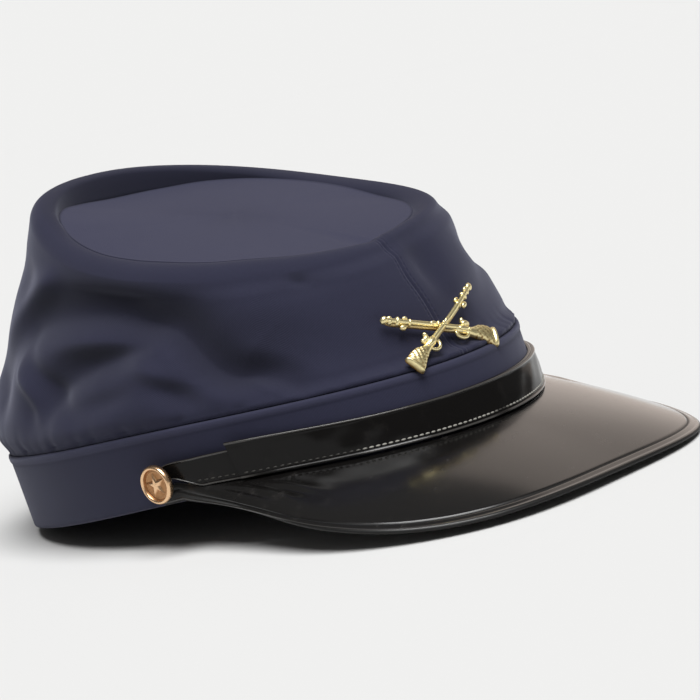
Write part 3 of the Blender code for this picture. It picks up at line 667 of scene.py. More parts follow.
# Creases, a row for each point: number of the crease, bearing in turns, share of the
# height, depth in metres (a minus is a ridge), and reach above and below it in metres
CREASES = (
    ("crease", "bearing", "share", "depth", "above", "below"),
    (1, 0.630, 0.40, 0.0000, 0.010, 0.010), (1, 0.646, 0.53, 0.0036, 0.011, 0.010),
    (1, 0.668, 0.64, 0.0062, 0.012, 0.009), (1, 0.695, 0.72, 0.0076, 0.013, 0.008),
    (1, 0.725, 0.76, 0.0086, 0.014, 0.006), (1, 0.754, 0.76, 0.0090, 0.014, 0.005),
    (1, 0.780, 0.71, 0.0092, 0.013, 0.004), (1, 0.802, 0.66, 0.0090, 0.013, 0.004),
    (1, 0.814, 0.57, 0.0090, 0.014, 0.004), (1, 0.825, 0.43, 0.0090, 0.015, 0.004),
    (1, 0.836, 0.30, 0.0090, 0.016, 0.004), (1, 0.846, 0.23, 0.0086, 0.016, 0.003),
    (1, 0.859, 0.21, 0.0078, 0.014, 0.003), (1, 0.871, 0.16, 0.0052, 0.012, 0.003),
    (1, 0.882, 0.07, 0.0022, 0.009, 0.003), (1, 0.890, 0.00, 0.0000, 0.006, 0.003),
    (2, 0.698, 0.12, 0.0000, 0.008, 0.008), (2, 0.704, 0.23, 0.0038, 0.010, 0.009),
    (2, 0.715, 0.34, 0.0060, 0.012, 0.009), (2, 0.729, 0.43, 0.0070, 0.012, 0.009),
    (2, 0.745, 0.48, 0.0074, 0.011, 0.008),
    (2, 0.764, 0.51, 0.0062, 0.010, 0.007), (2, 0.782, 0.55, 0.0034, 0.008, 0.005),
    (2, 0.794, 0.59, 0.0000, 0.006, 0.004),
    (3, 0.796, 0.32, 0.0000, 0.007, 0.005), (3, 0.807, 0.22, 0.0032, 0.008, 0.005),
    (3, 0.815, 0.15, 0.0030, 0.007, 0.005), (3, 0.824, 0.07, 0.0000, 0.005, 0.004),
    (4, 0.662, 0.50, 0.0000, 0.003, 0.003), (4, 0.675, 0.42, -0.0018, 0.004, 0.003),
    (4, 0.690, 0.34, -0.0024, 0.004, 0.003), (4, 0.699, 0.24, -0.0018, 0.004, 0.003),
    (4, 0.705, 0.12, 0.0000, 0.003, 0.003),
    (5, 0.715, 0.26, 0.0000, 0.007, 0.006), (5, 0.738, 0.22, 0.0022, 0.008, 0.006),
    (5, 0.760, 0.22, 0.0024, 0.008, 0.005), (5, 0.784, 0.28, 0.0000, 0.007, 0.005),
    (6, 0.893, 0.935, 0.0000, 0.003, 0.002), (6, 0.900, 0.915, 0.0016, 0.004, 0.002),
    (6, 0.907, 0.895, 0.0000, 0.003, 0.002),
    (7, 0.004, 0.92, 0.0000, 0.007, 0.007), (7, 0.007, 0.75, 0.0012, 0.008, 0.006),
    (7, 0.014, 0.55, 0.0010, 0.008, 0.006), (7, 0.022, 0.38, 0.0000, 0.006, 0.006),
    (8, 0.684, 0.96, 0.0000, 0.006, 0.005), (8, 0.673, 0.86, -0.0026, 0.006, 0.006),
    (8, 0.655, 0.75, -0.0030, 0.006, 0.007), (8, 0.638, 0.63, -0.0016, 0.006, 0.007),
    (8, 0.620, 0.50, 0.0000, 0.006, 0.006),
    (9, 0.600, 0.40, 0.0000, 0.009, 0.006), (9, 0.618, 0.36, 0.0030, 0.010, 0.005),
    (9, 0.640, 0.30, 0.0034, 0.010, 0.005), (9, 0.655, 0.20, 0.0000, 0.007, 0.005),
    (10, 0.845, 0.62, 0.0000, 0.007, 0.007), (10, 0.870, 0.50, 0.0012, 0.009, 0.006),
    (10, 0.893, 0.34, 0.0014, 0.010, 0.006), (10, 0.915, 0.18, 0.0000, 0.008, 0.006),
    (11, 0.080, 0.70, 0.0000, 0.009, 0.006), (11, 0.110, 0.58, 0.0030, 0.011, 0.005),
    (11, 0.145, 0.42, 0.0040, 0.012, 0.005), (11, 0.175, 0.24, 0.0000, 0.008, 0.005),
    (12, 0.200, 0.36, 0.0000, 0.009, 0.006), (12, 0.240, 0.50, 0.0046, 0.012, 0.006),
    (12, 0.285, 0.56, 0.0056, 0.013, 0.005), (12, 0.330, 0.48, 0.0044, 0.012, 0.005),
    (12, 0.365, 0.30, 0.0000, 0.009, 0.005),
    (13, 0.300, 0.24, 0.0000, 0.007, 0.006), (13, 0.325, 0.20, 0.0026, 0.008, 0.006),
    (13, 0.350, 0.13, 0.0000, 0.007, 0.005),
    (14, 0.410, 0.60, 0.0000, 0.010, 0.007), (14, 0.450, 0.66, 0.0044, 0.013, 0.006),
    (14, 0.500, 0.64, 0.0050, 0.013, 0.006), (14, 0.545, 0.52, 0.0034, 0.012, 0.006),
    (14, 0.575, 0.36, 0.0000, 0.009, 0.006),
)
print("humps:", len(CROWN_FOLDS) - 1, "creases:", CREASES[-1][0])

# %% Curves through tables, the crest and the humps
ROUND_STEPS = 560
SEAM_STEPS = 40
SEAM_REACH = 0.0065
WALL_STEPS = 100
ROLL_STEPS = 16
CREASE_STEPS = 20
CREASE_SPAN = 2.5
WALL_ROUND = 0.545
SWELL_END = 0.86
# Depth of a fold that gets the full painted shade
SHADE_FULL_DEPTH = 0.0080
# Share of the height and bearing in turns of the seam at the front
FRONT_SEAM = (
    ("share", "bearing"),
    (0.00, 0.9950), (0.31, 0.9940), (0.41, 0.9930), (0.56, 0.9900), (0.71, 0.9870),
    (0.86, 0.9875), (1.00, 0.9870),
)
SEAM_GROOVE = 0.0007
SEAM_GROOVE_WIDTH = 0.0006
STITCH_SIDE = 0.0019
STITCH_DEPTH = 0.00035
STITCH_WIDTH = 0.0004
STITCH_SPACING = 0.0026
PUCKER_DEPTH = 0.00026
PUCKER_REACH = 0.055
PUCKER_FLAT = -0.6
# Waves once round the cap, and where each starts
PUCKER_WAVES = ((31, 1.0), (53, 2.2), (83, 0.0))
# Painted shade in the folds: by their depth, and by how steeply the cloth faces down
SHADE_BY_DEPTH = 0.50
SHADE_BY_SLOPE = 0.95


def crest_point(bearing):
    """Top line of the roll: a tilted squared oval with a slow wave in its height."""
    plan = oval(bearing, crest_plan, CREST_WIDTH, CREST_SQUARENESS)
    rise = plan[..., 1] * math.tan(CREST_TILT)
    height = CREST_HEIGHT + rise + CREST_WAVE * np.cos(2 * (bearing - CREST_WAVE_TURN))
    return np.stack([plan[..., 0], plan[..., 1] - CREST_FORWARD, height], -1)


def smooth_rows(share, places, values):
    """A curve through the table's rows: cubic pieces whose slopes are central differences."""
    slopes = np.gradient(values, places)
    index = np.clip(np.searchsorted(places, share, side="right") - 1, 0, len(places) - 2)
    width = places[index + 1] - places[index]
    t = (share - places[index]) / width
    start = values[index] * (1 + 2 * t) * (1 - t) ** 2 + values[index + 1] * t ** 2 * (3 - 2 * t)
    return start + width * t * (1 - t) * (slopes[index] * (1 - t) - slopes[index + 1] * t)


def wrap_turn(turns):
    """A difference of bearings in turns, brought between -0.5 and 0.5."""
    return (turns + 0.5) % 1.0 - 0.5


def hump_depth(bearing, share):
    """Sum of the table's humps, each exp(-(round/reach)^2 - (up/reach)^2)."""
    depth = np.zeros(np.broadcast(bearing, share).shape)
    for fold in CROWN_FOLDS[1:]:
        middle, height, reach, up, slant, size = fold
        rise = share - height
        around = wrap_turn(bearing / TURN - middle - slant * rise) / reach
        depth = depth + size * np.exp(-around ** 2 - (rise / up) ** 2)
    return depth


print("crest at the back:", round(float(crest_point(np.array([math.pi]))[0, 2]), 4), "m high")


# %% The soft shoulder over the crest
def top_rows(bearing):
    """The columns of TOP_EDGE at each bearing."""
    columns = columns_of(TOP_EDGE)
    turns = bearing / TURN % 1.0
    return {key: smooth_rows(turns, columns["bearing"], columns[key]) for key in columns}


def lean_of_wall(foot, middle, radius, out):
    """Lean of the line from the foot that touches the arc: F·n - M·n = radius.

    n is the line's normal, so reach * cos(lean + rise) = radius, where reach and rise are
    the length and the slope of the way from the arc's middle to the foot.
    """
    level = ((foot - middle) * out).sum(axis=-1)
    below = (middle - foot)[..., 2]
    return np.arccos(radius / np.hypot(level, below)) - np.arctan2(below, level)


def shoulder(bearing):
    """Middle and radius of the arc over the crest, and the lean of the wall that meets it.

    A wider arc keeps touching the wall and the crest's level, so its middle moves down by
    what the radius gains and inwards by that times (1 - sin lean) / cos lean.
    """
    rows = top_rows(bearing)
    out = outward(bearing, crest_plan, CREST_WIDTH)
    foot = band_point(bearing, 1.0, -GAP) + (CLOTH_WALL + GAP) * UP
    crest = crest_point(bearing) - rows["press"][..., None] * UP
    narrow = crest - ROLL_RADIUS * UP
    lean = lean_of_wall(foot, narrow, ROLL_RADIUS, out)
    gain = (rows["shoulder"] - ROLL_RADIUS)[..., None]
    inwards = ((1 - np.sin(lean)) / np.cos(lean))[..., None]
    middle = narrow - gain * (UP + inwards * out)
    return middle, rows["shoulder"], lean_of_wall(foot, middle, rows["shoulder"], out)


def top_edge(bearing):
    """Edge of the sunken top: the crest, moved in by the table's inset and down."""
    rows = top_rows(bearing)
    out = outward(bearing, crest_plan, CREST_WIDTH)
    middle, radius, _ = shoulder(bearing)
    crest = middle + radius[..., None] * UP
    return crest - rows["inset"][..., None] * out - rows["sink"][..., None] * UP


print("wall's lean at the front:", round(math.degrees(shoulder(np.zeros(1))[2][0]), 1), "degrees")


# %% Creases, the front seam and the gathers
def wall_height(bearing):
    """Straight height of the wall from its foot to the crest."""
    return np.linalg.norm(crest_point(bearing) - band_point(bearing, 1.0), axis=-1)


def crease_depth(bearing, share):
    """Sum of the creases. Each is the most of depth * exp(-(distance / reach)^2) on its line.

    The wall is laid flat in metres, so the distance is that from a point of the wall to a
    place on the line. The reach differs above and below the line, so one side is steep.
    """
    columns = columns_of(CREASES)
    height = wall_height(bearing)
    total = np.zeros(bearing.shape)
    for number in np.unique(columns["crease"]):
        rows = columns["crease"] == number
        knots = np.arange(rows.sum(), dtype=float)
        fine = np.linspace(0, knots[-1], CREASE_STEPS * len(knots))
        line = {key: smooth_rows(fine, knots, value[rows]) for key, value in columns.items()}
        middle = line["bearing"].mean()
        line_x = (line["bearing"] - middle) * WALL_ROUND
        line_y = line["share"] * wall_height(line["bearing"] * TURN)
        x = wrap_turn(bearing / TURN - middle) * WALL_ROUND
        y = share * height
        span = CREASE_SPAN * max(line["above"].max(), line["below"].max())
        close = (x > line_x.min() - span) & (x < line_x.max() + span)
        close &= (y > line_y.min() - span) & (y < line_y.max() + span)
        across, up = x[close][:, None] - line_x, y[close][:, None] - line_y
        distance = np.hypot(across, up) + 1e-9
        ahead = np.stack([np.gradient(line_x), np.gradient(line_y)])
        ahead = ahead / np.linalg.norm(ahead, axis=0)
        side = (ahead[0] * up - ahead[1] * across) / distance
        reach = line["below"] + (line["above"] - line["below"]) * (side + 1) / 2
        fade = np.exp(-(distance / reach) ** 2)
        deepest = np.argmax(fade * np.abs(line["depth"]), axis=1)[:, None]
        total[close] += np.take_along_axis(fade * line["depth"], deepest, 1)[:, 0]
    return total


def seam_depth(bearing, share):
    """A groove along the front seam, and a row of stitches pressed in on each side of it.

    A stitch row is a narrow groove times a wave along the seam, (1 + cos) / 2.
    """
    columns = columns_of(FRONT_SEAM)
    line = smooth_rows(share, columns["share"], columns["bearing"])
    off = wrap_turn(bearing / TURN - line) * WALL_ROUND
    height = share * wall_height(bearing)
    wave = 0.5 + 0.5 * np.cos(TURN * height / STITCH_SPACING)
    groove = SEAM_GROOVE * np.exp(-(off / SEAM_GROOVE_WIDTH) ** 2)
    rows = np.exp(-((off - STITCH_SIDE) / STITCH_WIDTH) ** 2)
    rows = rows + np.exp(-((off + STITCH_SIDE) / STITCH_WIDTH) ** 2)
    return groove + STITCH_DEPTH * wave * rows


def pucker_depth(bearing, share):
    """Small gathers above the band: three waves round the cap that die away upwards."""
    waves = sum(np.sin(count * bearing + start) for count, start in PUCKER_WAVES)
    return PUCKER_DEPTH * np.maximum(waves, PUCKER_FLAT) * np.exp(-share / PUCKER_REACH)


print("wall, from", round(float(wall_height(np.zeros(1))[0]), 4), "m in front to",
      round(float(wall_height(np.full(1, math.pi))[0]), 4), "m at the back")


# %% The crown's wall as one grid
def crown_wall(bearing, share, folds):
    """Outer face of the wall: the line from foot to arc, plus the swell, less the folds.

    The swell fades to nothing at the arc with a smooth step, so that they join smoothly.
    """
    foot = band_point(bearing, 1.0, -GAP) + (CLOTH_WALL + GAP) * UP
    out = outward(bearing, crest_plan, CREST_WIDTH)
    middle, radius, lean = shoulder(bearing)
    normal = np.cos(lean)[..., None] * out + np.sin(lean)[..., None] * UP
    head = middle + radius[..., None] * normal
    columns = columns_of(CROWN_SECTIONS)
    ahead = np.cos(bearing)
    back = smooth_rows(share, columns["height"], columns["back"])
    side = smooth_rows(share, columns["height"], columns["side"])
    front = smooth_rows(share, columns["height"], columns["front"])
    swell = np.maximum(0.0, ahead) ** 2 * front + np.maximum(0.0, -ahead) ** 2 * back
    swell = CROWN_BULGE * (swell + (1 - ahead ** 2) * side)
    late = np.clip((share - SWELL_END) / (1 - SWELL_END), 0, 1)
    swell = (swell - folds) * (1 - late ** 2 * (3 - 2 * late))
    swell = swell - seam_depth(bearing, share) - pucker_depth(bearing, share)
    return foot + (head - foot) * share[..., None] + swell[..., None] * out


def painted_fold_shade(bearing, share, folds):
    """Painted shade of the folds: deep cloth, and cloth that faces down, is painted darker than
    the rest, and ridges are made a little paler as wear.
    """
    slope = np.gradient(folds, axis=0) / np.gradient(share * wall_height(bearing), axis=0)
    shade = SHADE_BY_DEPTH * folds / SHADE_FULL_DEPTH + SHADE_BY_SLOPE * np.maximum(0.0, -slope)
    return np.clip(shade, -0.4, 1.0)


def crown_bearings():
    """Even bearings all round, with more of them close to the front seam."""
    even = np.arange(ROUND_STEPS) / ROUND_STEPS
    middle = np.mean([row[1] for row in FRONT_SEAM[1:]])
    reach = SEAM_REACH / WALL_ROUND
    close = middle + np.linspace(-reach, reach, SEAM_STEPS)
    even = even[np.abs(wrap_turn(even - middle)) > reach]
    return np.sort(np.concatenate([even, close % 1.0])) * TURN


bearings = crown_bearings()
wall_share = np.repeat(np.linspace(0.0, 1.0, WALL_STEPS)[:, None], len(bearings), 1)
wall_bearing = np.repeat(bearings[None, :], WALL_STEPS, 0)
folds = FOLD_DEPTH * hump_depth(wall_bearing, wall_share)
folds = folds + crease_depth(wall_bearing, wall_share)
wall = crown_wall(wall_bearing, wall_share, folds)
wall_shade_and_wear = painted_fold_shade(wall_bearing, wall_share, folds)
print("crown wall grid:", wall.shape[:2], "darkest mark:", round(float(wall_shade_and_wear.max()), 2))

# %% Turn the wall over the roll and close it as a cloth of real thickness
INNER_START = 0.3
FLUSH_SINK = 0.0040
FLUSH_LAP = 0.0022
EDGE_CLEAR = 0.0002
FOOT_CLEAR = 0.0003
FOOT_IN = 0.0006
INNER_SHADE = 0.75
EDGE_SHADE = 0.90


def roll_rows(bearing):
    """From the wall's lean up the arc to the crest, then a quarter oval down to the top.

    The quarter oval is ROLL_RADIUS high. It is as wide as the inset, and a little wider
    where the top lies flush, so that the edge of the top rests on it.
    """
    rows = top_rows(bearing)
    out = outward(bearing, crest_plan, CREST_WIDTH)
    middle, radius, lean = shoulder(bearing)
    angle = lean + (TURN / 4 - lean) * np.linspace(0, 1, ROLL_STEPS + 1)[1:, None]
    groove = seam_depth(bearing, np.ones_like(bearing)) * np.cos(angle)
    across, up = (radius - groove) * np.cos(angle), (radius - groove) * np.sin(angle)
    outer = middle + across[..., None] * out + up[..., None] * UP
    flush = np.clip(1 - rows["sink"] / FLUSH_SINK, 0, 1)
    width = rows["inset"] - EDGE_CLEAR + FLUSH_LAP * flush
    angle = np.linspace(0, TURN / 4, ROLL_STEPS // 2 + 1)[1:, None]
    across, down = width * np.sin(angle), ROLL_RADIUS * (1 - np.cos(angle))
    inner = outer[-1] - across[..., None] * out - down[..., None] * UP
    bottom = inner[-1].copy()
    bottom[:, 2] = np.minimum(top_edge(bearing)[:, 2], bottom[:, 2]) - TOP_WALL - GAP
    share = np.linspace(0, 1, 4)[1:, None, None]
    return np.concatenate([outer, inner, inner[-1] + (bottom - inner[-1]) * share])


def crown_skin():
    """Tuck, wall and roll outside, the same moved in by the cloth's thickness inside.

    The wall's foot comes straight up from just behind the band's edge.
    """
    tuck = 1 - TUCK_DEPTH / BAND_HEIGHT
    inset = -(BAND_WALL + GAP)
    hidden = [band_point(bearings, tuck, inset), band_point(bearings, 1.0, inset)]
    hidden += [band_point(bearings, 1.0, -FOOT_IN) + FOOT_CLEAR * UP]
    outer = np.concatenate([np.array(hidden), wall, roll_rows(bearings)])
    marks = np.zeros(outer.shape[:2])
    # Painted shade in the folds' low places, and paler wear on their ridges
    marks[len(hidden):len(hidden) + WALL_STEPS] = wall_shade_and_wear
    deep = np.clip(top_rows(bearings)["sink"] / FLUSH_SINK, 0, 1)
    inside = outer[len(hidden) + WALL_STEPS + ROLL_STEPS:]
    # Painted shade on the inner wall of the roll, darker downwards, where the top is sunk deep
    marks[-len(inside):] = INNER_SHADE * np.linspace(INNER_START, 1.0, len(inside))[:, None] * deep
    normals = grid_normals(outer, closed=True)
    inner = (outer - CLOTH_WALL * normals)[::-4]
    skin = Skin()
    marks = np.concatenate([marks, np.zeros(inner.shape[:2])])
    skin.grid(on_floor(np.concatenate([outer, inner])), True, True, marks)
    return skin


add_piece("crown_cloth", crown_skin(), navy_cotton, ["crown_side"])

# %% [markdown]
# ## The sunken top
#
# The top is an oval of the same cotton, sewn in a little below the roll. It is a plane with
# a slight dome, and a narrow ridge round its edge where the seam is turned in.

# %% Build the top
TOP_RINGS = 24
TOP_RIM_SHARES = np.array([1.0, 0.994, 0.988, 0.982, 0.974])
TOP_SHARES = (0.96, 0.02)
SHADED_RINGS = 2.5
EDGE_RIDGE = 0.0003
EDGE_RIDGE_REACH = 0.016
# Share of the paler colour painted over the top as painted light
TOP_PAINTED_LIGHT = 0.52


def top_skin():
    """Rings shrink the edge to its middle, over the plane that fits the edge best.

    What the plane leaves over at the edge dies away with the square of the ring's share.
    A dome of TOP_DOME is added, and a thin ridge where the seam is turned in.
    """
    bearing = np.arange(ROUND_STEPS) * TURN / ROUND_STEPS
    edge = top_edge(bearing)
    middle = edge.mean(axis=0)
    terms = np.concatenate([edge[:, :2], np.ones((len(edge), 1))], -1)
    plane = np.linalg.lstsq(terms, edge[:, 2], rcond=None)[0]
    left_over = edge[:, 2] - terms @ plane
    share = np.concatenate([TOP_RIM_SHARES, np.linspace(*TOP_SHARES, TOP_RINGS)])[:, None]
    flat = middle[:2] + (edge[None, :, :2] - middle[:2]) * share[..., None]
    height = flat @ plane[:2] + plane[2] + left_over * share ** 3
    ridge = EDGE_RIDGE * np.exp(-((1 - share) / EDGE_RIDGE_REACH) ** 2)
    upper = np.concatenate([flat, (height + TOP_DOME * (1 - share ** 2) + ridge)[..., None]], -1)
    upper[0, :, 2] -= 2 * EDGE_RIDGE
    lower = upper - TOP_WALL * UP
    deep = np.clip(top_rows(bearing)["sink"] / FLUSH_SINK, 0, 1)
    # Painted shade on the outer rings where the top is sunk deep
    shade = np.maximum(0.0, 1 - np.arange(len(share)) / SHADED_RINGS)[:, None] * deep * EDGE_SHADE
    # Painted light over the rest of the top: it is made paler because it faces up to the light
    marks = np.where(shade > 0, shade, -TOP_PAINTED_LIGHT)
    marks = np.concatenate([np.zeros_like(marks), marks])
    skin = Skin()
    numbers = skin.grid(on_floor(np.concatenate([lower[::-1], upper])), False, True, marks)
    # The middle of the top gets the same painted light
    skin.fan(numbers[-1], on_floor(upper[-1].mean(axis=0)), -TOP_PAINTED_LIGHT)
    skin.fan(numbers[0][::-1], on_floor(lower[-1].mean(axis=0)))
    return skin


add_piece("crown_disc", top_skin(), navy_cotton, ["crown_top"])

# %% [markdown]
# ## The band
#
# The band is a cuff of the same cotton. Its lower edge is a turned hem, and its upper edge
# is folded over the foot of the crown, so it stands a little proud there.

# %% Build the band
BAND_RUBBED = 0.40
LIP_START = 0.9
BAND_PROFILE = (
    ("share", "proud"),
    (0.000, -0.60), (0.008, -0.25), (0.025, -0.05), (0.060, 0.00), (0.300, 0.00),
    (0.600, 0.00), (0.850, 0.00), (0.880, 0.00), (0.905, 0.14), (0.930, 0.20),
    (0.965, 0.20), (0.990, 0.10), (1.000, -0.16), (1.000, -0.60), (0.990, -1.00),
    (0.600, -1.00), (0.060, -1.00), (0.012, -0.90),
)


def band_skin():
    """The profile's proud values, as shares of the wall, carried round the band."""
    columns = columns_of(BAND_PROFILE)
    share = columns["share"][:, None]
    proud = columns["proud"][:, None] * BAND_WALL
    bearing = np.arange(ROUND_STEPS)[None, :] * TURN / ROUND_STEPS
    points = on_floor(band_point(bearing, share, proud))
    points[..., 2] = np.maximum(points[..., 2], 0.0)
    skin = Skin()
    made_paler = (columns["share"] > LIP_START) & (columns["proud"] > 0.0)
    skin.grid(points, True, True, -BAND_RUBBED * made_paler[:, None])
    return skin


add_piece("band_cloth", band_skin(), navy_cotton, ["band"])

# %% [markdown]
# ## The peak
#
# The peak is one sheet of patent vinyl, ruled between the rim and a squared oval, with a
# slight camber. A line is pressed into it a few millimetres inside its edge.

# %% Sizes and edge of the peak
PEAK_WALL = 0.0018
PEAK_WIDTH = 0.1857
PEAK_REACH = 0.1226
PEAK_ROOT_BACK = 0.0282
PEAK_DROP = 0.0312
PEAK_SIDE_DROP = 0.0275
PEAK_TWIST = 0.0016
PEAK_CAMBER = 0.0012
# Powers of the outline, as in the CAD source
PEAK_ACROSS_POWER = 0.61
PEAK_AHEAD_POWER = 0.79
PEAK_PULL_IN_POWER = 17.7
PEAK_FRONT_DROP_POWER = 1.8
PEAK_SIDE_DROP_POWER = 0.75
PEAK_END_POWER = 4
PEAK_ROW_POWER = 0.8
PEAK_LAP_SIDE = 0.0070
PEAK_LAP_FRONT = 0.0010
PEAK_LAP_POWER = 3.0
PEAK_EDGE_SHARE = 0.55
PEAK_EDGE_REACH = 0.012
PEAK_STEPS = 260
PEAK_ROWS = 120
LINE_INSET = 0.0046
LINE_WIDTH = 0.0005
LINE_DEPTH = 0.0004
EDGE_ROLL = 0.00022
EDGE_ROLL_INSET = 0.0012
EDGE_ROLL_WIDTH = 0.0004
EDGE_DULL = 0.0005
PEAK_DULL_FROM = 0.87
# Puckers beside the sewn ends: height, waves in each unit of turn and of share, and the
# middle and the reach of the patch in turn and in share
PUCKERS = (0.00060, 8.0, 2.5, 0.76, 0.10, 0.30, 0.16)
PEAK_PAST = math.radians(4.5)
PEAK_PAST_STEPS = 8
PEAK_PAST_TAPER = 0.45


def peak_outline(turn):
    """Edge of the peak: a squared oval, pulled in to the rim at its ends, that drops."""
    side = np.sin(turn * math.pi / 2)
    ahead = np.abs(np.cos(turn * math.pi / 2))
    root_across = RIM_WIDTH / 2 * math.sqrt(1 - (2 * PEAK_ROOT_BACK / RIM_LENGTH) ** 2)
    across = PEAK_WIDTH / 2 * np.abs(side) ** PEAK_ACROSS_POWER
    pull_in = np.abs(side) ** PEAK_PULL_IN_POWER
    across = np.sign(side) * (across - (PEAK_WIDTH / 2 - root_across) * pull_in)
    forward = PEAK_ROOT_BACK + PEAK_REACH * ahead ** PEAK_AHEAD_POWER
    drop = PEAK_DROP * ahead ** PEAK_FRONT_DROP_POWER
    drop = drop + PEAK_SIDE_DROP * ahead ** PEAK_SIDE_DROP_POWER * side ** 2
    twist = PEAK_TWIST * across / (PEAK_WIDTH / 2) * np.minimum(1.0, 2 * ahead)
    return np.stack([across, -forward, -drop - twist], -1)


print("peak's edge in front, in the cap's frame:", peak_outline(np.zeros(1)).round(4).tolist())


# %% Build the peak
def peak_face():
    """Straight lines from rim to edge, humped by the camber, with the pressed line in it.

    Past its ends the sheet runs on a little way along the band, to be sewn in there.
    Returns the upper and the lower face, and the mark: the groove, the cut edge and the
    sewn ends are dull, and the roll beside the edge gets a full coat and a painted highlight, a
    paler colour.
    """
    turn = np.linspace(-1, 1, PEAK_STEPS + 1)
    past = np.linspace(0, 1, PEAK_PAST_STEPS + 1)[1:]
    past = np.concatenate([-past[::-1], 0 * turn, past])
    turn = np.concatenate([turn[:1].repeat(PEAK_PAST_STEPS), turn,
                           turn[-1:].repeat(PEAK_PAST_STEPS)])
    bearing = turn * math.acos(2 * PEAK_ROOT_BACK / RIM_LENGTH) + past * PEAK_PAST
    near_end = np.abs(turn) ** PEAK_END_POWER
    lap = PEAK_LAP_FRONT + (PEAK_LAP_SIDE - PEAK_LAP_FRONT) * np.abs(turn) ** PEAK_LAP_POWER
    lap = lap * (1 - PEAK_PAST_TAPER * past ** 2)
    root = band_point(bearing, lap / BAND_HEIGHT, GAP + PEAK_WALL * (1 + near_end) / 2)
    rim = np.concatenate([oval(bearing, RIM_LENGTH, RIM_WIDTH), 0 * bearing[:, None]], -1)
    edge = np.where((past == 0)[:, None], peak_outline(turn), rim)
    clear = (GAP + PEAK_WALL) * near_end[:, None]
    edge = edge + clear * outward(bearing, RIM_LENGTH, RIM_WIDTH)
    share = (np.linspace(0, 1, PEAK_ROWS + 1) ** PEAK_ROW_POWER)[:, None]
    width = np.linalg.norm(edge - root, axis=-1)
    upper = root + (edge - root) * share[..., None]
    hump = PEAK_CAMBER * 4 * share * (1 - share) * width / width.max()
    high, round_waves, out_waves, middle, reach, out_middle, out_reach = PUCKERS
    patch = np.exp(-((np.abs(turn) - middle) / reach) ** 2
                   - ((share - out_middle) / out_reach) ** 2)
    waves = np.sin(TURN * (round_waves * np.abs(turn) + out_waves * share))
    hump = hump + high * waves * patch * np.minimum(1.0, share / out_middle)
    normals = -grid_normals(upper)
    upper = upper + hump[..., None] * normals
    inset = (1 - share) * width
    groove = LINE_DEPTH * np.exp(-((inset - LINE_INSET) / LINE_WIDTH) ** 2)
    thin = (1 - PEAK_EDGE_SHARE) * np.clip(1 - inset / PEAK_EDGE_REACH, 0, 1) ** 2
    wall = (PEAK_WALL * (1 - thin))[..., None]
    rounded = np.maximum(0.0, 1 - inset / (PEAK_EDGE_SHARE * PEAK_WALL / 2))
    rounded = 1 - np.sqrt(1 - np.minimum(rounded, 0.98) ** 2)
    roll = np.exp(-((inset - EDGE_ROLL_INSET) / EDGE_ROLL_WIDTH) ** 2)
    drop = groove + PEAK_EDGE_SHARE * PEAK_WALL / 2 * rounded - EDGE_ROLL * roll
    ends = np.clip((np.abs(turn) - PEAK_DULL_FROM) / (1 - PEAK_DULL_FROM), 0, 1)
    dull = np.maximum(groove / LINE_DEPTH, np.clip(2 - inset / EDGE_DULL, 0, 1))
    # A negative mark on the roll beside the edge: a painted highlight
    marks = np.maximum(dull, ends) - roll * (1 - dull)
    return upper - drop[..., None] * normals, upper - wall * normals, marks


def peak_skin():
    """The upper face from its edge to the rim, the lower face back, and a lid at each end."""
    upper, lower, marks = peak_face()
    rows = np.concatenate([upper[::-1], lower[::4]])
    marks = np.concatenate([marks[::-1], marks[::4]])
    points = on_floor(rows)
    points[..., 2] = np.maximum(points[..., 2], 0.0)
    skin = Skin()
    numbers = skin.grid(points, True, False, marks)
    skin.lid(numbers[:, 0])
    skin.lid(numbers[::-1, -1])
    return skin


add_piece("peak_vinyl", peak_skin(), black_patent, ["peak"])

# %% [markdown]
# ## The chin strap
#
# Two layers of patent strap overlap across the front, each buttoned on one side. A layer is
# a thin profile with raised edges, carried round the band.

# %% Sizes of the strap
STRAP_WIDTH = 0.0112
STRAP_WALL = 0.0010
STRAP_LIFT_SIDE = 0.0065
STRAP_LIFT_FRONT = PEAK_LAP_FRONT + GAP
STRAP_TAB_PAST = 0.0035
STRAP_OVERLAP_END = math.radians(62.0)
LAP_START = math.radians(46.0)
LAP_FULL = math.radians(66.0)
BUTTON_BEARING = math.radians(76.5)
BUTTON_HEIGHT = 0.0088
STRAP_STEPS = 420
STRAP_END_RISE = 0.0012
STRAP_RIPPLE = 0.00012
TIP_ROUND = 0.0035
STITCH_INSET = 0.0021
# Painted highlights: between the bearings below, the stitches and the lower edge get a paler
# colour, elsewhere only a little of it
STITCH_GLINT_LEAST = 0.10
HIGHLIGHT_FROM = math.radians(4.0)
HIGHLIGHT_TO = math.radians(34.5)
HIGHLIGHT_TAB = math.radians(60.0)
HIGHLIGHT_FADE = math.radians(3.0)
STITCH_PITCH = 0.0025
STITCH_START = 0.0140
STITCH_LONG = 0.00085
STITCH_WIDE = 0.00036
STITCH_HIGH = 0.00040
STITCH_SUNK = 0.82
STRAP_SHARP = 50
STRAP_WAVES = ((23, 2, 0.0), (41, -3, 1.0))
FREE_FROM = 0.4
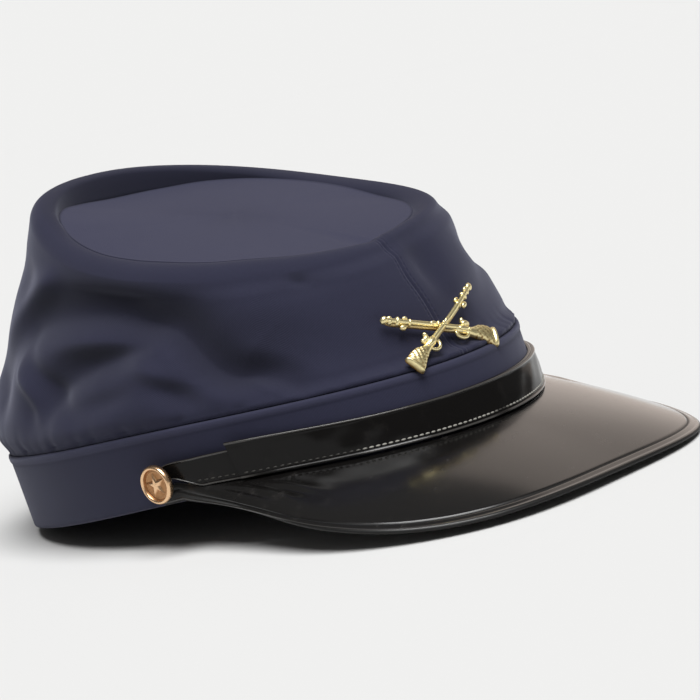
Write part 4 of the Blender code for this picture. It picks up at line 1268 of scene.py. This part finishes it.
# Least painted highlight on the lower edge, and the painted highlight all along the upper edge
LOWER_HIGHLIGHT_LEAST = 0.1
UPPER_HIGHLIGHT = 0.9
STRAP_OVER_BACK = math.radians(1.5)
STRAP_PROFILE = (
    ("across", "proud"),
    (-1.000, 0.30), (-1.000, 0.60), (-0.985, 0.88), (-0.955, 1.10), (-0.915, 1.20),
    (-0.875, 1.12), (-0.845, 0.92), (-0.800, 0.80), (-0.740, 0.84), (-0.640, 0.90),
    (-0.300, 0.94), (0.000, 0.95), (0.400, 0.94), (0.700, 0.90), (0.800, 0.84),
    (0.850, 0.92), (0.885, 1.10), (0.920, 1.20), (0.955, 1.12), (0.985, 0.88),
    (1.000, 0.60), (1.000, 0.30), (0.985, 0.00), (0.000, 0.00), (-0.985, 0.00),
)

# The tab, by distance in front of its button: what its upper and lower edges are moved up
STRAP_TAB = (
    ("ahead", "upper", "lower"),
    (-0.0035, -0.0036, 0.0008), (0.0005, -0.0030, 0.0018), (0.0040, -0.0016, 0.0040),
    (0.0080, -0.0010, 0.0027), (0.0120, -0.0008, 0.0007), (0.0140, -0.0007, 0.0000),
    (0.0180, -0.0004, 0.0000), (0.0260, 0.0000, 0.0000), (0.4000, 0.0000, 0.0000),
)
print("strap:", STRAP_WIDTH, "m wide,", STRAP_WALL, "m thick")


# %% Where the strap runs
def strap_stand(bearing, layer):
    """Distance from the band: it rides up over the ends of the peak, and by its layer."""
    climb = np.clip((np.abs(bearing) - LAP_START) / (LAP_FULL - LAP_START), 0, 1)
    over_lap = (PEAK_WALL + GAP) * climb ** 2 * (3 - 2 * climb)
    return GAP + over_lap + layer * (STRAP_WALL + GAP)


def strap_edges(bearing, side, layer):
    """Heights of the lower and upper edge: straight in front, tapered to a rounded tab.

    The upper layer's free end stands STRAP_END_RISE higher, with a smooth step up to it.
    """
    lift = STRAP_LIFT_SIDE + (STRAP_LIFT_FRONT - STRAP_LIFT_SIDE) * np.cos(bearing)
    columns = columns_of(STRAP_TAB)
    ahead = (BUTTON_BEARING - side * bearing) * RIM_LENGTH / 2
    upper = lift + STRAP_WIDTH + smooth_rows(ahead, columns["ahead"], columns["upper"])
    lower = lift + smooth_rows(ahead, columns["ahead"], columns["lower"])
    free = (-side * bearing / STRAP_OVERLAP_END - FREE_FROM) / (1 - FREE_FROM)
    free = np.clip(free, 0, 1)
    upper = upper + layer * STRAP_END_RISE * free ** 2 * (3 - 2 * free)
    short = np.clip(1 - (ahead + STRAP_TAB_PAST) / TIP_ROUND, 0, 0.97)
    middle, reach = (upper + lower) / 2, (upper - lower) / 2 * np.sqrt(1 - short ** 2)
    return middle - reach, middle + reach


def strap_highlight_window(bearing, at_tab):
    """1 where the lower edge and the stitches get a painted highlight: beside the front and, if so,
    at the tab.
    """
    off = np.abs(bearing)
    beside = np.minimum(off - HIGHLIGHT_FROM, HIGHLIGHT_TO - off)
    past = np.where(at_tab, off - HIGHLIGHT_TAB, beside)
    return np.clip(np.maximum(beside, past) / HIGHLIGHT_FADE + 1, 0, 1)


def strap_ripple(bearing, across):
    """Shallow dents of the vinyl: two slanting waves along the strap."""
    waves = sum(np.sin(count * bearing + slant * across + start)
                for count, slant, start in STRAP_WAVES)
    return STRAP_RIPPLE * waves * (1 - across ** 2)


print("strap in front, lower and upper edge:",
      np.round(strap_edges(np.zeros(1), 1, 0), 4).ravel().tolist())


# %% Build the strap
def strap_skin(side, layer):
    """The profile between the two edges, carried round the band, and its stitches.

    The upper layer ends STRAP_OVER_BACK short of the lower one's mirrored place.
    """
    columns = columns_of(STRAP_PROFILE)
    tip = BUTTON_BEARING + STRAP_TAB_PAST / (RIM_LENGTH / 2)
    end = layer * STRAP_OVER_BACK - STRAP_OVERLAP_END
    bearing = side * np.linspace(tip, end, STRAP_STEPS)[None, :]
    lower, upper = strap_edges(bearing, side, layer)
    across = columns["across"][:, None]
    share = ((upper + lower) / 2 + across * (upper - lower) / 2) / BAND_HEIGHT
    proud = columns["proud"][:, None] * STRAP_WALL
    proud = proud + (proud > STRAP_WALL / 2) * strap_ripple(bearing, across)
    points = on_floor(band_point(bearing, share, strap_stand(bearing, layer) + proud))
    skin = Skin()
    # Painted highlight on the raised edges: the lower one mostly between the bearings set above,
    # the upper one all along
    lower_highlight = LOWER_HIGHLIGHT_LEAST + (1 - LOWER_HIGHLIGHT_LEAST) * strap_highlight_window(bearing, True)
    bead_highlight = np.where(across < 0, lower_highlight, UPPER_HIGHLIGHT)
    marks = -bead_highlight * (columns["proud"] > 1.0)[:, None]
    if side > 0:
        points, marks = points[:, ::-1], marks[:, ::-1]
    numbers = skin.grid(points, True, False, marks)
    skin.lid(numbers[::-1, -1])
    skin.lid(numbers[:, 0])
    first = BUTTON_BEARING - STITCH_START / (RIM_LENGTH / 2)
    last = end + STITCH_PITCH / (RIM_LENGTH / 2)
    count = int((first - last) * RIM_LENGTH / 2 / STITCH_PITCH)
    bearing = side * np.linspace(first, last, count)
    lower, _ = strap_edges(bearing, side, layer)
    stand = strap_stand(bearing, layer) + STITCH_SUNK * STRAP_WALL
    # The stitches' painted glint, strongest beside the front
    marks = STITCH_GLINT_LEAST + (1 - STITCH_GLINT_LEAST) * strap_highlight_window(bearing, False)
    skin.bodies(stitch_beads(bearing, lower + STITCH_INSET, stand), marks[:, None, None])
    return skin


def stitch_beads(bearing, height, stand):
    """Ellipsoids that lie along the band, half sunk, one for each stitch."""
    share = height / BAND_HEIGHT
    centres = on_floor(band_point(bearing, share, stand))
    ahead = on_floor(band_point(bearing + 0.002, share, stand)) - centres
    out = on_floor(band_point(bearing, share, stand + 0.001)) - centres
    ahead, out = [v / np.linalg.norm(v, axis=-1, keepdims=True) for v in (ahead, out)]
    up = np.cross(out, ahead)
    return beads(centres, ahead * STITCH_LONG, up * STITCH_WIDE, out * STITCH_HIGH)


for layer, (name, side) in enumerate((("under", -1), ("over", 1))):
    add_piece("strap_" + name, strap_skin(side, layer), strap_patent,
              ["chin_strap_" + name], STRAP_SHARP)

# %% [markdown]
# ## The buttons
#
# A button is turned: a shank, a flat back, a thick rolled rim and a sunken floor. The floor
# carries a plain star, which is a height over the disc's polar grid. It hangs a little askew
# on its shank.

# %% Sizes and place of a button
BUTTON_AXIS = (0.9981, 0.0171, -0.0472)
BUTTON_SHRINK = 0.972
BUTTON_RAISE = 0.0010
BUTTON_LIFT = 0.0009
BUTTON_ROUND = 120
BUTTON_ROWS = 44
STAR_REACH = 0.0046
STAR_WAIST = 0.0020
STAR_RISE = 0.00055
BEAD_RING = 0.0047
BEAD_COUNT = 30
BEAD_RISE = 0.00016
BEAD_WIDE = 0.00022
STAR_STEEP = 2.2
FLOOR_DARK = 0.80
STAR_PALE = 0.75
# Profile from the shank's end to the foot of the rim: radius and height in metres
BUTTON_PROFILE = (
    ("radius", "height"),
    (0.00020, -0.0040), (0.00150, -0.0040), (0.00150, 0.00000), (0.00630, 0.00000),
    (0.00675, 0.00020), (0.00698, 0.00070), (0.00700, 0.00120), (0.00695, 0.00175),
    (0.00678, 0.00220), (0.00650, 0.00248), (0.00620, 0.00256), (0.00590, 0.00250),
    (0.00566, 0.00230), (0.00552, 0.00200), (0.00544, 0.00170), (0.00535, 0.00152),
)


def button_frame(side, layer):
    """Middle of the button's back, and its up, forward and outward unit vectors."""
    turns = side * BUTTON_BEARING + np.array([0.0, 0.0, -0.01, 0.01])
    share = BUTTON_HEIGHT / BAND_HEIGHT + np.array([-0.1, 0.1, 0.0, 0.0])
    low, high, before, after = band_point(turns, share)
    up = (high - low) / np.linalg.norm(high - low)
    axis = np.cross(after - before, up)
    axis = axis / np.linalg.norm(axis)
    stand = strap_stand(BUTTON_BEARING, layer + 1) + GAP + BUTTON_LIFT
    middle = (low + high) / 2 + stand * axis + BUTTON_RAISE * up
    axis = np.array(BUTTON_AXIS) * (side, 1, 1)
    axis = axis / np.linalg.norm(axis)
    up = up - (up @ axis) * axis
    up = up / np.linalg.norm(up)
    return middle, up, np.cross(axis, up), axis


print("right button at:", on_floor(button_frame(-1, 0)[0]).round(4).tolist())


# %% Build the buttons
def star_height(radius, angle):
    """A five-pointed star: 1 at its middle line, 0 at an edge that runs point to waist.

    The edge is a straight line between a point and a waist, so 1 / radius is a mix of sines.
    """
    fold = np.abs((angle / TURN * 5 + 0.5) % 1.0 - 0.5) * TURN / 5
    half = TURN / 10
    edge = STAR_REACH * STAR_WAIST * math.sin(half)
    edge = edge / (STAR_WAIST * np.sin(half - fold) + STAR_REACH * np.sin(fold))
    return np.clip(1 - radius / edge, 0, 1)


def button_skin(side, layer):
    """The profile and the floor's rings turned about the axis, with the star on the floor."""
    columns = columns_of(BUTTON_PROFILE)
    floor = np.linspace(columns["radius"][-1], 0.0001, BUTTON_ROWS + 1)[1:]
    radius = np.concatenate([columns["radius"], floor])[:, None]
    angle = np.arange(BUTTON_ROUND)[None, :] * TURN / BUTTON_ROUND
    height = np.concatenate([columns["height"], np.full(BUTTON_ROWS, columns["height"][-1])])
    height = np.repeat(height[:, None], BUTTON_ROUND, 1)
    star = star_height(radius, angle)
    ring = np.exp(-((radius - BEAD_RING) / BEAD_WIDE) ** 2) * np.cos(BEAD_COUNT * angle / 2) ** 2
    relief = STAR_RISE * np.minimum(1.0, STAR_STEEP * star) ** 0.6 + 0.4 * STAR_RISE * star
    relief = (relief + BEAD_RISE * ring) * (height > 0.001) * (radius < columns["radius"][-2])
    ground = (radius < columns["radius"][-4]) & (height > 0.001)
    marks = ground * np.clip(FLOOR_DARK - STAR_PALE * relief / STAR_RISE, 0, 1)
    middle, up, across, axis = button_frame(side, layer)
    wide = BUTTON_SHRINK * radius[..., None]
    level = wide * (np.cos(angle)[..., None] * up + np.sin(angle)[..., None] * across)
    points = on_floor(middle + level + (height + relief)[..., None] * axis)
    skin = Skin()
    skin.bodies(points[None], marks)
    return skin


for name, side, layer in (("button_right", -1, 0), ("button_left", 1, 1)):
    add_piece(name + "_turned", button_skin(side, layer), button_brass,
              [name], 60)

# %% [markdown]
# ## The badge
#
# Two rifles are crossed and cast as one piece. A rifle is worked out lying straight, by its
# distance from the butt, its distance to the side and its height, and then laid on the
# crown. The stock is a loft of D-shaped sections, the barrel a tube, and the hammer, sights,
# rings and lugs are ellipsoids, which run into each other as cast metal does.

# %% Tables of a rifle
MM = 0.001
RIFLE_LENGTH = 0.0490
RIFLE_ANGLE = math.radians(23.5)
BADGE_HEIGHT = 0.0295
BADGE_RIGHT = 0.0036
BADGE_LEAN = math.radians(33.0)
# How far back the badge sits: a constant, per metre of height, and per square of across
BADGE_SEAT = (-0.10706, 0.36267, 3.98422)
RIFLES = (
    ("mirror", "lift", "offset", "turn", "slide", "shift"),
    (1.0, 0.0009, -0.0013, 0.0013, 0.08, -0.032), (-1.0, 0.0, -0.0030, 0.0018, 0.0, 0.010),
)
# Share of the length from the butt, then upper edge, lower edge and height in millimetres
STOCK = (
    ("along", "upper", "lower", "height"),
    (0.000, 2.2, -3.6, 0.9), (0.010, 3.0, -4.7, 1.9), (0.030, 3.3, -5.1, 2.2),
    (0.046, 3.1, -4.8, 1.6), (0.080, 3.3, -4.5, 1.9), (0.130, 3.3, -3.6, 2.1),
    (0.165, 3.1, -3.1, 2.1), (0.210, 2.3, -2.6, 2.0), (0.247, 1.6, -2.2, 1.8),
    (0.285, 1.5, -2.0, 1.9), (0.320, 1.7, -1.9, 2.2), (0.370, 1.6, -1.8, 2.2),
    (0.400, 1.3, -1.45, 1.8), (0.430, 1.10, -1.35, 1.3), (0.620, 1.05, -1.30, 1.1),
    (0.850, 1.00, -1.25, 1.0), (0.940, 0.90, -1.05, 0.9), (0.965, 0.50, -0.60, 0.4),
)
STOCK_ROWS = 110
STOCK_COLUMNS = 36
DARK_BELOW = 1.5
CARVING = 0.30
CARVING_LONG = 2.3
CARVING_WIDE = 2.0
# Barrel: from and to, as shares of the length, then side, height and radius in millimetres
BARREL = (0.38, 0.99, 0.05, 1.30, 0.98)
# Trigger guard: share of the length, side, height, half length, half width and radius
GUARD = (0.347, -1.3, 1.0, 2.7, 2.5, 0.68)
# Share of the length, side and height of each lump, then its half sizes, in millimetres
LUMPS = (
    ("along", "side", "height", "long", "wide", "high"),
    (0.985, 0.05, 1.40, 1.35, 1.55, 1.30), (0.945, 0.85, 1.40, 1.05, 1.00, 0.95),
    (0.940, -0.45, 1.20, 0.90, 0.95, 1.00), (0.885, 0.10, 1.30, 0.95, 1.80, 1.35),
    (0.820, 1.75, 1.00, 1.05, 0.80, 0.90), (0.840, -2.05, 0.90, 1.30, 1.10, 0.95),
    (0.790, 0.00, 1.30, 0.60, 1.45, 1.20), (0.600, 0.20, 2.10, 1.50, 0.85, 0.60),
    (0.560, 0.20, 2.10, 0.60, 1.10, 0.65), (0.315, 2.00, 1.50, 1.75, 1.25, 1.25),
    (0.340, 3.15, 1.60, 0.80, 1.15, 0.90), (0.285, 2.30, 1.20, 0.90, 1.00, 0.90),
    (0.335, -0.30, 1.90, 2.40, 1.15, 0.80), (0.283, -0.40, 2.00, 0.70, 0.70, 0.50),
    (0.370, -0.60, 2.10, 0.45, 0.45, 0.45),
)
print("rifle:", RIFLE_LENGTH, "m long, with", len(LUMPS) - 1, "lumps")


# %% Lay a rifle on the crown, and work out its stock
def laid_on_crown(points, rifle):
    """Turn a straight rifle's points into its place in the cross and bend them to the seat."""
    along = points[..., 0] / RIFLE_LENGTH
    along = along + rifle["shift"]
    ahead = (along - 0.5 - rifle["slide"] * np.sin(math.pi * along)) * RIFLE_LENGTH
    side = points[..., 1] + rifle["offset"] + rifle["turn"] * along
    cos, sin = math.cos(RIFLE_ANGLE), math.sin(RIFLE_ANGLE)
    across = rifle["mirror"] * (ahead * cos - side * sin) - BADGE_RIGHT
    height = BADGE_HEIGHT + (ahead * sin + side * cos) * math.cos(BADGE_LEAN)
    back = BADGE_SEAT[0] + BADGE_SEAT[1] * height + BADGE_SEAT[2] * across ** 2
    out = np.array([0.0, -math.cos(BADGE_LEAN), math.sin(BADGE_LEAN)])
    rise = points[..., 2] + rifle["lift"]
    return on_floor(np.stack([across, back, height], -1) + rise[..., None] * out)


def stock_rings():
    """D-shaped sections between the table's edges, with a pattern of carving on the butt, whose low
    places get painted shade.
    """
    columns = columns_of(STOCK)
    along = np.linspace(0, columns["along"][-1], STOCK_ROWS)[:, None]
    rows = {key: smooth_rows(along, columns["along"], columns[key]) for key in columns}
    angle = np.arange(STOCK_COLUMNS)[None, :] * TURN / STOCK_COLUMNS
    side = (rows["upper"] + rows["lower"]) / 2 + (rows["upper"] - rows["lower"]) / 2 * np.cos(angle)
    dome = np.maximum(0.0, np.sin(angle)) ** 0.6
    long = along * RIFLE_LENGTH / MM
    waves = np.sin(TURN * long / CARVING_LONG + 0.9 * side) * np.sin(TURN * side / CARVING_WIDE)
    fade = np.clip((along - 0.045) / 0.02, 0, 1) * np.clip((0.235 - along) / 0.03, 0, 1)
    height = dome * (rows["height"] + CARVING * waves * fade)
    # Painted shade in the low places of the carving
    marks = 1.1 * np.clip(-waves, 0, 1) * fade * (dome > 0.3)
    return np.stack(np.broadcast_arrays(long, side, height), -1) * MM, marks


print("stock rings:", stock_rings()[0].shape)


# %% Build the badge
def tube_rings(path, radius, columns=14):
    """Rings of one radius round a path, square to it, which rises nowhere."""
    ahead = np.gradient(path, axis=0)
    ahead = ahead / np.linalg.norm(ahead, axis=-1, keepdims=True)
    side = np.cross(ahead, UP)
    angle = (np.arange(columns) * TURN / columns)[None, :, None]
    return path[:, None] + radius * (np.cos(angle) * side[:, None] + np.sin(angle) * UP)


def low_metal_shade(points):
    """Painted shade on low metal: 1 at the back and 0 from DARK_BELOW up."""
    return np.clip(1.0 - points[..., 2] / (DARK_BELOW * MM), 0, 1)


def badge_skin():
    """Stock, barrel, guard and lumps of both rifles."""
    stock, carving_shade = stock_rings()
    start, end, side, height, radius = BARREL
    path = np.zeros((30, 3)) + [0.0, side * MM, height * MM]
    path[:, 0] = np.linspace(start, end, len(path)) * RIFLE_LENGTH
    barrel = tube_rings(path, radius * MM)
    along, side, height, long, wide, radius = GUARD
    angle = np.linspace(0.52, 0.98, 24) * TURN
    path = np.stack([along * RIFLE_LENGTH / MM + long * np.cos(angle),
                     side + wide * np.sin(angle), height + 0 * angle], -1)
    guard = tube_rings(path * MM, radius * MM)
    lumps = columns_of(LUMPS)
    middles = np.stack([lumps["along"] * RIFLE_LENGTH / MM, lumps["side"], lumps["height"]], -1)
    axes = [lumps[key][:, None] * axis for key, axis in zip(("long", "wide", "high"), np.eye(3))]
    lumps = beads(middles, *axes, rows=11, columns=18) * MM
    skin = Skin()
    columns = columns_of(RIFLES)
    for index in range(len(columns["mirror"])):
        rifle = {key: value[index] for key, value in columns.items()}
        skin.bodies(laid_on_crown(stock[None], rifle), low_metal_shade(stock) + carving_shade)
        for rings in (barrel[None], guard[None], lumps):
            skin.bodies(laid_on_crown(rings, rifle), low_metal_shade(rings))
    return skin


add_piece("badge_cast", badge_skin(), gold_cast, ["badge"], 50)

# %% [markdown]
# ## Floor, lights and camera
#
# The cap rests on a plain pale floor. One very wide soft light stands high on the camera's
# side, so that the disc is bright and the hollows of the folds stay dark. A low bright strip
# behind the cap gives the peak something to reflect. The camera keeps the angle that the
# photograph has to the cap.

# %% Lay the floor
FLOOR_SIZE = 14.0
FLOOR_LEVEL = -0.0002
FLOOR_PAPER = (0.70, 0.70, 0.695, 1.0)


def add_floor():
    """One square face of dull paper, which shows no reflection of the lights."""
    mesh = bpy.data.meshes.new("floor")
    half = FLOOR_SIZE / 2
    signs = ((-1, -1), (1, -1), (1, 1), (-1, 1))
    corners = [(half * x, half * y, FLOOR_LEVEL) for x, y in signs]
    mesh.from_pydata(corners, [], [(0, 1, 2, 3)])
    floor = bpy.data.objects.new("floor", mesh)
    bpy.context.scene.collection.objects.link(floor)
    finish = Finish("floor_paper", Roughness=0.9)
    finish.shader.inputs["Base Color"].default_value = FLOOR_PAPER
    finish.shader.inputs["Specular IOR Level"].default_value = 0.0
    mesh.materials.append(finish.material)


add_floor()
print("floor:", FLOOR_SIZE, "m square")


# %% Light the cap
def add_key(towards, spread, strength):
    """A sun with a wide disc lights the whole floor alike and gives soft shadows."""
    light = bpy.data.lights.new("key", "SUN")
    light.angle = math.radians(spread)
    light.energy = strength
    key = bpy.data.objects.new("key", light)
    bpy.context.scene.collection.objects.link(key)
    key.rotation_euler = Vector(towards).to_track_quat("Z", "Y").to_euler()


def add_panel(name, place, target, size, power, colour=(1.0, 1.0, 1.0)):
    """A square soft panel that faces its target."""
    light = bpy.data.lights.new(name, "AREA")
    light.shape = "RECTANGLE"
    light.size, light.size_y = size
    light.energy = power
    light.color = colour
    panel = bpy.data.objects.new(name, light)
    bpy.context.scene.collection.objects.link(panel)
    panel.visible_camera = False
    panel.visible_diffuse = False
    panel.location = place
    direction = Vector(place) - Vector(target)
    panel.rotation_euler = direction.to_track_quat("Z", "Y").to_euler()


bpy.context.scene.view_settings.view_transform = "Standard"
world = bpy.data.worlds.new("sky")
world.use_nodes = True
world.node_tree.nodes["Background"].inputs[0].default_value = (1.0, 0.99, 0.975, 1.0)
world.node_tree.nodes["Background"].inputs[1].default_value = 0.12
bpy.context.scene.world = world
add_key((-0.24, -0.34, 0.91), 45.0, 3.9)
add_panel("card", (1.25, 0.75, 0.65), (0.0, 0.0, 0.05), (2.6, 1.7), 8.6, (1.0, 0.85, 0.75))
print("lights:", ", ".join(light.name for light in bpy.data.lights))

# %% Place the camera
CAMERA_LENS = 181.476
CAMERA_PLACE = (-0.88512, -0.84718, 0.23478)
CAMERA_TURNS = (81.0751, 11.949, -48.7769)


def add_camera():
    """A long lens, at the photograph's angle and far enough to give its perspective."""
    data = bpy.data.cameras.new("camera")
    data.lens = CAMERA_LENS
    data.sensor_width = 36.0
    data.clip_start, data.clip_end = 0.05, 50.0
    camera = bpy.data.objects.new("camera", data)
    bpy.context.scene.collection.objects.link(camera)
    camera.location = CAMERA_PLACE
    camera.rotation_euler = Euler([math.radians(angle) for angle in CAMERA_TURNS], "XYZ")
    bpy.context.scene.camera = camera


add_camera()
print("camera at:", CAMERA_PLACE)
